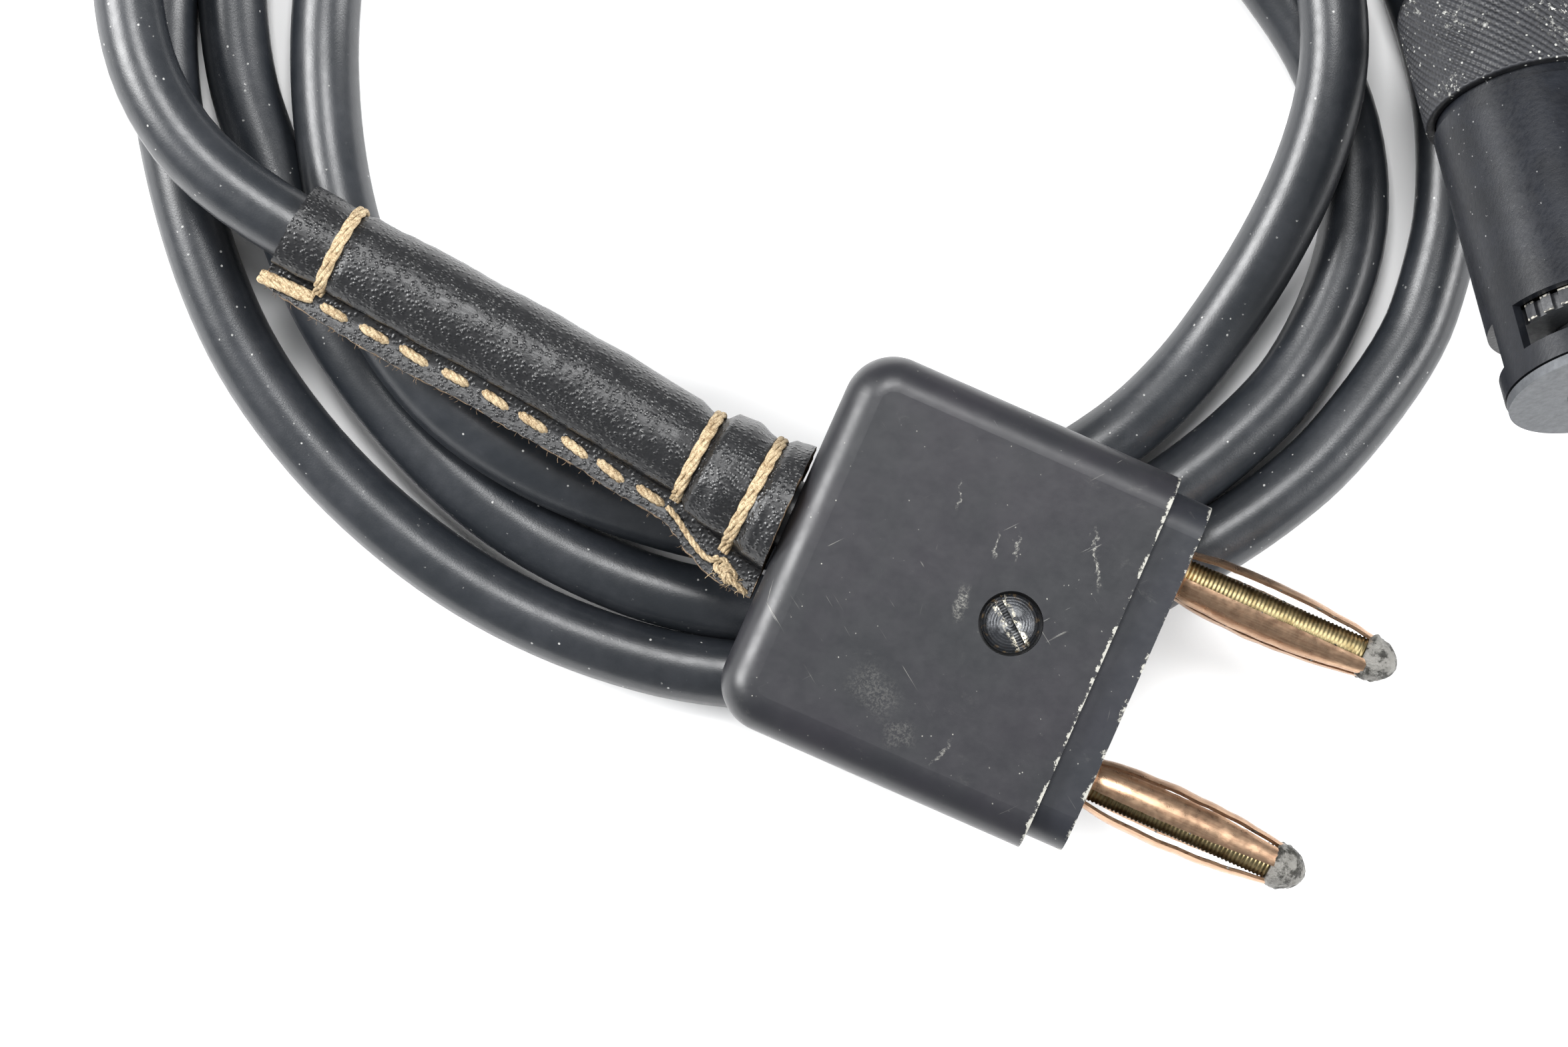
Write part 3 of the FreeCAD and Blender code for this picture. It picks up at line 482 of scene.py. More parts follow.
@dataclass(frozen=True)
class Bakelite(Finish):
    """Black moulded resin, scratched, specked and chipped along one edge."""

    name: str
    edge: float
    color: Triple = (0.0100, 0.0108, 0.0130)
    cloud_gain: Triple = (1.28, 1.12, 1.2)
    pale: Triple = (0.30, 0.295, 0.265)
    edge_width: float = 0.8
    edge_lift: float = 0.34
    chips: float = 0.80
    rough: Span = (0.35, 0.43)
    scratches: tuple[Triple, ...] = ((35, 0.05, 0.69), (-50, 0.07, 0.70), (80, 0.06, 0.71))
    scratch_strength: float = 0.4
    rub_strength: float = 0.14
    scuffs: tuple[Scuff, ...] = ()

    def scratched(self, graph: ShaderGraph, where: Socket) -> Socket:
        """Fine scratches in three directions, broken up.

        Args:
            graph: the material under construction.
            where: its pattern coordinates.

        Returns:
            Where the scratches are.
        """
        masks = []
        for degrees, length, low in self.scratches:
            turned = graph.place((length, 2.6, 0.5), Matrix.Rotation(math.radians(degrees), 3, "Z"))
            masks.append(graph.ramp(graph.noise(turned, scale=1.0, detail=3, rough=0.6), low, low + 0.05))
        broken = graph.ramp(graph.noise(where, scale=0.4, detail=2), 0.5, 0.62)
        return graph.times(graph.plus(graph.plus(masks[0], masks[1]), masks[2]), broken)

    def chipped(self, graph: ShaderGraph, where: Socket) -> Socket:
        """Chips, most of them along the moulding's front edge.

        Args:
            graph: the material under construction.
            where: its pattern coordinates.

        Returns:
            Where the chips are.
        """
        apart = graph.size(graph.minus(graph.component(where, Axis.X), self.edge / MM))
        near = graph.ramp(apart, 0.0, self.edge_width, self.edge_lift, 0.0)
        ragged = graph.plus(graph.noise(where, scale=0.75, detail=7, rough=0.8), near)
        return graph.ramp(ragged, self.chips, self.chips + 0.03)

    def paint(self, graph: ShaderGraph, where: Socket) -> None:
        """Lays scratches, specks, rubbed patches, chips and scuffs over cloudy black.

        Args:
            graph: the material under construction.
            where: its pattern coordinates.
        """
        cloud = graph.ramp(graph.noise(where, scale=0.09, detail=5), 0.35, 0.7)
        lighter = tuple(part * gain for part, gain in zip(self.color, self.cloud_gain))
        base = graph.blend(cloud, self.color, lighter)
        scratch = self.scratched(graph, where)
        patch = graph.ramp(graph.noise(where, scale=0.5, detail=5, rough=0.8), 0.53, 0.64)
        specks = graph.times(graph.dots(where, scale=1.5, core=0.05, rim=0.12), patch)
        rubbed = graph.ramp(graph.noise(where, scale=0.13, detail=8, rough=0.85, twist=0.5), 0.58, 0.78)
        marks = graph.larger(graph.times(scratch, self.scratch_strength), specks)
        marks = graph.larger(marks, graph.times(rubbed, self.rub_strength))
        chips = self.chipped(graph, where)
        marks = graph.larger(marks, chips)
        for scuff in self.scuffs:
            marks = graph.larger(marks, scuff.mask(graph, where))
        color = graph.blend(marks, base, self.pale)
        rough = graph.ramp(graph.noise(where, scale=0.5, detail=6, rough=0.65), 0.3, 0.75, *self.rough)
        graph.relief((graph.noise(where, scale=0.3, detail=3), 0.03), (scratch, 0.006), (chips, 0.04))
        graph.finish(color, rough)


@dataclass(frozen=True)
class Leather(Finish):
    """Black grained leather, its pebble tops painted with pale flecks of highlight."""

    name: str = "leather"
    color: Triple = (0.006, 0.0062, 0.007)
    painted_glint: Triple = (0.32, 0.32, 0.31)
    rough: Span = (0.34, 0.20)

    def paint(self, graph: ShaderGraph, where: Socket) -> None:
        """Lays painted highlights as pale flecks on the pebble tops over black, with creases and grain in
        relief.

        Args:
            graph: the material under construction.
            where: its pattern coordinates.
        """
        grain = graph.ramp(graph.cells(where, scale=2.6), 0.12, 0.6, 1.0, 0.0)
        creases = graph.noise(graph.place((0.7, 2.2, 0.9)), scale=1.4, detail=5, rough=0.7, twist=0.6)
        patch = graph.ramp(graph.noise(where, scale=0.35, detail=3), 0.38, 0.62)
        drawn = graph.place((0.6, 1.5, 1.0))
        glint_tips = graph.ramp(graph.noise(drawn, scale=4.2, rough=0.75, twist=0.5), 0.58, 0.66)
        # painted highlight: pale flecks on the pebble tops, where the grain catches the light
        flecks = graph.times(graph.times(glint_tips, patch), grain)
        color = graph.blend(graph.times(flecks, 0.9), self.color, self.painted_glint)
        rough = graph.ramp(grain, 0.0, 1.0, *self.rough)
        graph.relief((creases, 0.035), (grain, 0.045), (graph.noise(where, scale=6.0, detail=3), 0.012))
        graph.finish(color, rough)


@dataclass(frozen=True)
class Fibre(Finish):
    """A fibrous finish: raw leather edge, linen thread or pressed board."""

    name: str
    dark: Triple
    light: Triple
    grain: float
    depth: float
    rough: float = 0.8

    def paint(self, graph: ShaderGraph, where: Socket) -> None:
        """Stains twisted fibres.

        Args:
            graph: the material under construction.
            where: its pattern coordinates.
        """
        fibres = graph.noise(where, scale=self.grain, detail=5, rough=0.7, twist=1.2)
        stain = graph.ramp(graph.noise(where, scale=0.7), 0.35, 0.7)
        tone = graph.minus(graph.ramp(fibres, 0.32, 0.68), graph.times(stain, 0.35))
        color = graph.blend(graph.ramp(tone, -0.2, 0.9), self.dark, self.light)
        fuzz = graph.noise(where, scale=self.grain * 2.2, detail=3)
        graph.relief((fibres, self.depth), (fuzz, self.depth * 0.4))
        graph.finish(color, self.rough, specular=0.25)


@dataclass(frozen=True)
class Metal(Finish):
    """Bare metal with tarnish, pits and a direction of working."""

    name: str
    clean: Triple
    tarnish: Triple
    rough: Span
    pits: float
    stretch: Triple = (1.0, 1.0, 1.0)
    metal: float = 1.0
    patchy: float = 1.0

    def paint(self, graph: ShaderGraph, where: Socket) -> None:
        """Tarnishes the metal in patches, streaks and dots.

        Args:
            graph: the material under construction.
            where: its pattern coordinates.
        """
        worked = graph.noise(graph.place(self.stretch), scale=2.2, detail=5, rough=0.65)
        patches = graph.ramp(graph.noise(where, scale=0.8, detail=6, rough=0.7), 0.4, 0.66)
        mixed = graph.plus(graph.times(graph.times(worked, 0.4), patches), graph.times(patches, 0.5))
        patched = graph.ramp(mixed, 0.1, 0.62, 0.0, self.patchy)
        streaks = graph.ramp(worked, 0.35, 0.65, 0.0, 1.0 - self.patchy)
        some = graph.ramp(graph.noise(where, scale=1.1, detail=2), 0.55, 0.65)
        dots = graph.times(graph.dots(where, scale=1.6, core=0.1, rim=0.2), some)
        color = graph.blend(graph.larger(graph.plus(patched, streaks), dots), self.clean, self.tarnish)
        pitted = graph.noise(where, scale=3.4, detail=6, rough=0.7)
        graph.relief((pitted, self.pits), (worked, self.pits * 0.6))
        rough = graph.ramp(graph.noise(where, scale=1.5, detail=5), 0.3, 0.75, *self.rough)
        graph.finish(color, rough, self.metal)


@dataclass(frozen=True)
class Enamel(Finish):
    """Satin black enamel on turned brass, worn and dusty."""

    name: str = "head_black"
    color: Triple = (0.0058, 0.0066, 0.0088)
    cloud_gain: float = 1.7
    worn: Triple = (0.2, 0.2, 0.2)
    wear: float = 0.68
    rough: Span = (0.28, 0.46)

    def paint(self, graph: ShaderGraph, where: Socket) -> None:
        """Lays chips and dust over cloudy black, with fine turning marks.

        Args:
            graph: the material under construction.
            where: its pattern coordinates.
        """
        cloud = graph.ramp(graph.noise(where, scale=0.22, detail=5, rough=0.6, twist=0.5), 0.34, 0.7)
        base = graph.blend(cloud, self.color, tuple(part * self.cloud_gain for part in self.color))
        chips = graph.ramp(graph.noise(where, scale=1.3, detail=6, rough=0.75), self.wear, self.wear + 0.04)
        patch = graph.ramp(graph.noise(where, scale=0.5, rough=0.7), 0.52, 0.62)
        dust = graph.times(graph.dots(where, scale=1.3, core=0.07, rim=0.13), patch)
        color = graph.blend(graph.larger(chips, dust), base, self.worn)
        fine = graph.noise(graph.place((1.0, 1.0, 5.0)), scale=1.6, detail=5, rough=0.7)
        graph.relief((graph.noise(where, scale=0.5), 0.03), (fine, 0.012), (chips, 0.02))
        rough = graph.ramp(fine, 0.3, 0.7, *self.rough)
        graph.finish(color, rough, specular=0.22)


@dataclass(frozen=True)
class ScrewFinish(Finish):
    """Blackened steel with turning rings, bright beside the slot, and brown dirt round its foot."""

    place: Place
    name: str = "blackened_screw"
    black: Triple = (0.03, 0.032, 0.036)
    shiny: Triple = (0.16, 0.165, 0.17)
    bare: Triple = (0.62, 0.58, 0.47)
    dirt: Triple = (0.14, 0.10, 0.06)
    ring_pace: float = 26.0
    slot_edge: Span = (0.26, 0.31)
    bright_end: Span = (0.45, 0.8)
    foot: Span = (1.9, 2.4)
    rough: Span = (0.18, 0.38)

    def paint(self, graph: ShaderGraph, where: Socket) -> None:
        """Wears the metal beside the slot, polishes its middle and dirties its foot.

        Args:
            graph: the material under construction.
            where: its pattern coordinates.
        """
        _, across, high = graph.local(self.place)
        radius = graph.radial(across, high)
        rings = graph.ramp(graph.join(Join.SINE, graph.times(radius, self.ring_pace)), -1.0, 1.0)
        apart = graph.size(high)
        beside = graph.times(graph.ramp(apart, *self.slot_edge),
                             graph.ramp(apart, *self.bright_end, 1.0, 0.0))
        worn = graph.ramp(graph.noise(where, scale=2.6, detail=5, rough=0.7), 0.48, 0.56)
        bright = graph.times(beside, worn)
        shine = graph.ramp(graph.noise(where, scale=1.0, detail=3), 0.42, 0.6)
        polished = graph.times(shine, graph.ramp(radius, 0.4, self.foot[0], 1.0, 0.0))
        color = graph.blend(bright, graph.blend(polished, self.black, self.shiny), self.bare)
        packed = graph.ramp(graph.noise(where, scale=1.8), 0.52, 0.6)
        color = graph.blend(graph.times(graph.ramp(radius, *self.foot), packed), color, self.dirt)
        pitted = graph.noise(where, scale=4.0, detail=5, rough=0.7)
        graph.relief((rings, 0.015), (pitted, 0.03), (bright, 0.03))
        rough = graph.ramp(graph.noise(where, scale=2.0), 0.3, 0.7, *self.rough)
        graph.finish(color, rough, metal=0.55, specular=0.6)


@dataclass(frozen=True)
class WheelFinish(Finish):
    """Black paint on the coupling wheel, chipped cream along its teeth, over a matt grey face."""

    place: Place
    name: str = "wheel_black"
    black: Triple = (0.015, 0.016, 0.019)
    grey: Triple = (0.075, 0.08, 0.085)
    cream: Triple = (0.40, 0.38, 0.33)
    rim: Span = (6.75, 7.2)
    middle: float = 6.05
    tooth_end: Span = (0.2, 0.62)
    chipping: Span = (0.46, 0.51)
    face: Span = (5.3, 5.45)
    face_bore: Span = (3.4, 3.6)
    rough: Span = (0.32, 0.55)

    def paint(self, graph: ShaderGraph, where: Socket) -> None:
        """Chips the paint at both ends of the teeth and greys the face.

        Args:
            graph: the material under construction.
            where: its pattern coordinates.
        """
        depth, across, high = graph.local(self.place)
        radius = graph.radial(across, high)
        broken = graph.noise(where, scale=1.9, detail=6, rough=0.75)
        ends = graph.ramp(graph.size(graph.minus(depth, self.middle)), *self.tooth_end)
        teeth = graph.times(graph.ramp(radius, *self.rim), ends)
        chips = graph.ramp(graph.times(broken, teeth), *self.chipping)
        front = graph.times(graph.ramp(depth, *self.face, 1.0, 0.0), graph.ramp(radius, *self.face_bore))
        color = graph.blend(chips, graph.blend(front, self.black, self.grey), self.cream)
        graph.relief((graph.noise(where, scale=1.4), 0.03), (chips, 0.04))
        rough = graph.ramp(broken, 0.3, 0.7, *self.rough)
        graph.finish(color, rough)


@dataclass(frozen=True)
class GripFinish(Finish):
    """Black enamel over the grip's fine diamond knurl, with painted shade in its grooves, painted light on
    its ridges, and white dust.
    """

    place: Place
    name: str = "grip_black"
    color: Triple = (0.011, 0.0115, 0.0135)
    groove_shade_gain: float = 0.5
    ridge_light_gain: float = 1.9
    dusty: Triple = (0.46, 0.46, 0.43)
    knurl: Span = (8.54, 8.72)
    rough: Span = (0.38, 0.55)

    def paint(self, graph: ShaderGraph, where: Socket) -> None:
        """Paints shade into the grooves and light onto the ridges, and scatters dust.

        Args:
            graph: the material under construction.
            where: its pattern coordinates.
        """
        _, across, high = graph.local(self.place)
        # painted shade and light: the knurl's grooves darker and its ridges lighter than the enamel
        top = graph.ramp(graph.radial(across, high), *self.knurl)
        groove, lit_ridge = (tuple(part * gain for part in self.color)
                         for gain in (self.groove_shade_gain, self.ridge_light_gain))
        base = graph.blend(top, groove, lit_ridge)
        patch = graph.ramp(graph.noise(where, scale=0.28, detail=3), 0.5, 0.68)
        crumbs = graph.ramp(graph.noise(where, scale=1.7, detail=5, rough=0.75), 0.55, 0.60)
        loose = graph.times(graph.dots(where, scale=1.3, core=0.10, rim=0.17), 0.7)
        dust = graph.larger(graph.times(patch, crumbs), loose)
        color = graph.blend(dust, base, self.dusty)
        graph.relief((graph.noise(where, scale=3.0), 0.03), (dust, 0.03))
        rough = graph.ramp(graph.noise(where, scale=1.2), 0.3, 0.7, *self.rough)
        graph.finish(color, rough, specular=0.34)


# ------------------------------------------------------------------ meshes
def link_object(name: str, data: bpy.types.ID) -> bpy.types.Object:
    """Adds an object to the scene.

    Args:
        name: its name.
        data: its mesh, curve, camera or light.

    Returns:
        The object.
    """
    made = bpy.data.objects.new(name, data)
    bpy.context.scene.collection.objects.link(made)
    return made


def mesh_piece(name: str, points: list[Vector], faces: list[Face], materials: Sequence[Material],
               marks: Sequence[int] = (), sharp: float = 40.0) -> bpy.types.Object:
    """A shaded mesh object.

    Args:
        name: the piece's name.
        points: its vertices in the row frame.
        faces: its faces.
        materials: its materials.
        marks: the material number of each face, or nothing for the first.
        sharp: edges steeper than this many degrees stay hard.

    Returns:
        The object, linked to the scene.
    """
    mesh = bpy.data.meshes.new(name)
    mesh.from_pydata(points, [], faces)
    mesh.update()
    for material in materials:
        mesh.materials.append(material)
    if marks:
        mesh.polygons.foreach_set("material_index", list(marks))
    mesh.polygons.foreach_set("use_smooth", [True] * len(mesh.polygons))
    mesh.set_sharp_from_angle(angle=math.radians(sharp))
    return link_object(name, mesh)


def loft_faces(rings: int, around: int, closed: bool = False, first: int = 0) -> list[Face]:
    """Faces between rings of equally many points, with end caps unless the rings close up.

    Args:
        rings: how many rings there are.
        around: points in each ring.
        closed: whether the last ring joins the first.
        first: the number of the first ring's first point.

    Returns:
        The faces.
    """
    faces = []
    for ring in range(rings if closed else rings - 1):
        here = first + ring * around
        there = first + (ring + 1) % rings * around
        for step in range(around):
            after = (step + 1) % around
            faces.append((here + step, here + after, there + after, there + step))
    if not closed:
        faces.append(tuple(reversed(range(first, first + around))))
        faces.append(tuple(range(first + (rings - 1) * around, first + rings * around)))
    return faces


def lathe(name: str, place: Place, profile: Profile, material: Material, around: int,
          shape: Shaper | None = None, closed: bool = False, capped: bool = True,
          sharp: float = 40.0) -> bpy.types.Object:
    """A turned piece, whose radius a function may vary.

    Args:
        name: the piece's name.
        place: its axis.
        profile: pairs of depth and radius in millimetres.
        material: its finish.
        around: points in each ring.
        shape: gives a radius from a depth, an angle and the plain radius.
        closed: whether the profile closes up, as a tube's does.
        capped: whether an open profile gets flat ends.
        sharp: edges steeper than this many degrees stay hard.

    Returns:
        The object.
    """
    points = []
    for depth, radius in profile:
        for step in range(around):
            angle = math.tau * step / around
            reach = shape(depth, angle, radius) if shape else radius
            points.append(place.polar(depth, angle, reach))
    faces = loft_faces(len(profile), around, closed)
    if not closed and not capped:
        faces = faces[:-2]
    return mesh_piece(name, points, faces, [material], sharp=sharp)


def carried_frames(path: Sequence[Vector]) -> list[tuple[Vector, Vector]]:
    """Two directions square to a path at each of its points, carried along it without twisting.

    Args:
        path: points in the row frame.

    Returns:
        A pair of directions for each point.
    """
    frames = []
    across = None
    last = len(path) - 1
    for number in range(len(path)):
        ahead = (path[min(number + 1, last)] - path[max(number - 1, 0)]).normalized()
        seed = across if across is not None else ahead.orthogonal()
        across = (seed - ahead * seed.dot(ahead)).normalized()
        frames.append((across, ahead.cross(across)))
    return frames


@dataclass(frozen=True)
class Lay:
    """How a thread is laid from its plies."""

    radius: float
    twist: float
    plies: int
    around: int
    spread: float = 0.46
    strand: float = 0.56
    worn_end: float = 0.72
    worn_steps: int = 2

    def ply(self) -> Span:
        """How far a ply's middle lies from the thread's, and the ply's own radius."""
        if self.plies > 1:
            return self.radius * self.spread, self.radius * self.strand
        return 0.0, self.radius


def twisted_thread(name: str, paths: Sequence[Sequence[Vector]], lay: Lay,
                   material: Material) -> bpy.types.Object:
    """Thread along several paths, as one mesh of twisted plies that thin out at their ends.

    Args:
        name: the piece's name.
        paths: routes in the row frame.
        lay: sizes in millimetres of the thread and its twist.
        material: its finish.

    Returns:
        The object.
    """
    spread, strand = lay.ply()
    points: list[Vector] = []
    faces: list[Face] = []
    for path in paths:
        frames = carried_frames(path)
        for ply in range(lay.plies):
            start = len(points)
            run = 0.0
            for number, (point, (across, over)) in enumerate(zip(path, frames)):
                if number:
                    run += (point - path[number - 1]).length
                turn = math.tau * (ply / lay.plies + run / (lay.twist * MM))
                middle = point + (across * math.cos(turn) + over * math.sin(turn)) * spread * MM
                inside = min(1.0, min(number, len(path) - 1 - number) / lay.worn_steps)
                thin = lay.worn_end + (1 - lay.worn_end) * inside
                for step in range(lay.around):
                    angle = math.tau * step / lay.around
                    offset = across * math.cos(angle) + over * math.sin(angle)
                    points.append(middle + offset * strand * thin * MM)
            faces += loft_faces(len(path), lay.around, first=start)
    return mesh_piece(name, points, faces, [material], sharp=80)


def smooth_path(corners: Sequence[Vector], steps: int = 8) -> list[Vector]:
    """A smooth path through all its corners.

    Args:
        corners: points the path goes through.
        steps: points made for each stretch.

    Returns:
        The points of the path.
    """
    path = []
    last = len(corners) - 1
    for index in range(last):
        a = corners[max(index - 1, 0)]
        b = corners[index]
        c = corners[index + 1]
        d = corners[min(index + 2, last)]
        for step in range(steps):
            t = step / steps
            path.append(0.5 * (2 * b + (c - a) * t + (2 * a - 5 * b + 4 * c - d) * t * t
                               + (3 * b - a - 3 * c + d) * t ** 3))
    return path + [corners[-1]]


def dress(node: str, material: Material) -> None:
    """Gives a carried-over CAD node its finish.

    Args:
        node: the node's name.
        material: the finish.
    """
    piece = frame["nodes"][node]
    if not piece.material_slots:
        piece.data.materials.append(material)
    for held in piece.material_slots:
        held.material = material


def settle(piece: bpy.types.Object, body: str, slot: str, *nodes: str) -> None:
    """Ties a made piece to its body and hides the CAD nodes that it stands for.

    Args:
        piece: the made piece.
        body: the body that it rides on.
        slot: the record's slot for its finish; not used.
        nodes: the CAD nodes that it replaces, if any.
    """
    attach(piece, body)
    if nodes:
        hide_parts(*nodes)
    LOG.info("made %s on %s", piece.name, body)


def dress_all(nodes: dict[str, str], finishes: dict[str, Material]) -> None:
    """Gives several carried-over CAD nodes their finishes.

    Args:
        nodes: the finish's name for each node.
        finishes: the materials by name.
    """
    for node, finish in nodes.items():
        dress(node, finishes[finish])
        LOG.info("dressed %s in %s", node, finish)


# ------------------------------------------------------------------ the layout
@dataclass
class Layout:
    """Where the sub-assemblies lie, read from the frame."""

    coil_outer: float = 62.5
    coupling_depth: float = 1.9
    sleeve_gap: float = 0.8
    cord_side: float = 0.9
    mouth: Triple = (-47.7, 6.1, -1.5)
    plug: Place = field(init=False)
    sleeve: Place = field(init=False)
    head: Place = field(init=False)
    coil: Vector = field(init=False)
    sleeve_length: float = field(init=False)

    def __post_init__(self) -> None:
        """Works the places out."""
        low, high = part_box("plug_shell")
        rear = Vector((low[0], (low[1] + high[1]) / 2, (low[2] + high[2]) / 2))
        self.plug = Place(rear, Vector((1, 0, 0)), UP)
        start = rear + Vector((-self.sleeve_gap, self.cord_side, 0)) * MM
        end = rear + Vector(self.mouth) * MM
        self.sleeve = square_place(start, end - start, UP)
        self.sleeve_length = (end - start).length / MM
        coupling = next(item for item in frame["record"]["mounts"] if item["name"] == "camera_coupling")
        axis = Vector(coupling["axis"])
        front = Vector(coupling["pos_m"]) + axis * self.coupling_depth * MM
        self.head = square_place(front, -axis, UP)
        coil_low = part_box("cord_coil")[0]
        self.coil = Vector((coil_low[0] + self.coil_outer * MM, coil_low[1] + self.coil_outer * MM, 0))

    def around_coil(self, degrees: float, radius: float, height: float) -> Vector:
        """A point of the coil.

        Args:
            degrees: its angle about the coil's middle.
            radius: its distance from the middle, in millimetres.
            height: its height over the table, in millimetres.

        Returns:
            The point, in metres.
        """
        angle = math.radians(degrees)
        return self.coil + Vector((radius * math.cos(angle), radius * math.sin(angle), height)) * MM


@dataclass(frozen=True)
class SoftBox:
    """A soft square light that faces the object, in metres and watts."""

    name: str
    place: Triple
    size: float
    power: float

    def hang(self) -> None:
        """Adds the light."""
        data = bpy.data.lights.new(self.name, "AREA")
        data.size = self.size
        data.energy = self.power
        lamp = link_object(self.name, data)
        lamp.location = self.place
        lamp.rotation_euler = (-Vector(self.place)).to_track_quat("-Z", "Y").to_euler()


@dataclass
class Studio:
    """The camera, the table and the lights, in metres and degrees."""

    layout: Layout
    turn: float = 23.8
    height: float = 0.475
    back: float = 0.0002
    picture_width: float = 0.13145
    focus_height: float = 0.0126
    sensor: float = 36.0
    nearest: float = 0.01
    sky: Triple = (0.96, 0.98, 1.0)
    sky_strength: float = 0.42
    table_reach: float = 1.2
    table_tones: tuple[Triple, Triple] = ((0.86, 0.86, 0.86), (0.89, 0.89, 0.89))
    table_rough: float = 0.7
    lights: tuple[SoftBox, ...] = (
        SoftBox("left_box", (-0.46, -0.12, 0.33), 0.26, 5.6),
        SoftBox("right_box", (0.42, 0.10, 0.33), 0.28, 4.4),
        SoftBox("back_box", (-0.13, 0.22, 0.60), 0.22, 3.5),
    )

    def camera(self) -> None:
        """Makes the camera, which looks straight down beside the plug's rear."""
        data = bpy.data.cameras.new("camera")
        data.sensor_width = self.sensor
        data.lens = self.sensor * (self.height - self.focus_height) / self.picture_width
        data.clip_start = self.nearest
        camera = link_object("camera", data)
        rear = self.layout.plug.origin
        camera.location = (rear.x - self.back, rear.y, self.height)
        camera.rotation_euler = (0, 0, math.radians(self.turn))
        bpy.context.scene.camera = camera

    def table(self) -> None:
        """Makes the plain pale table top."""
        graph = ShaderGraph("table_white")
        tone = graph.ramp(graph.noise(graph.place(), scale=0.02, detail=2), 0.3, 0.7)
        graph.finish(graph.blend(tone, *self.table_tones), self.table_rough)
        corners = [Vector((x * self.table_reach, y * self.table_reach, 0))
                   for x, y in ((-1, -1), (1, -1), (1, 1), (-1, 1))]
        mesh_piece("table_top", corners, [(0, 1, 2, 3)], [graph.material])

    def build(self) -> None:
        """Makes the camera, table, world and lights."""
        self.camera()
        self.table()
        world = bpy.data.worlds.new("studio")
        world.use_nodes = True
        background = world.node_tree.nodes["Background"]
        background.inputs["Color"].default_value = (*self.sky, 1.0)
        background.inputs["Strength"].default_value = self.sky_strength
        bpy.context.scene.world = world
        bpy.context.scene.view_settings.view_transform = "Standard"
        for light in self.lights:
            light.hang()


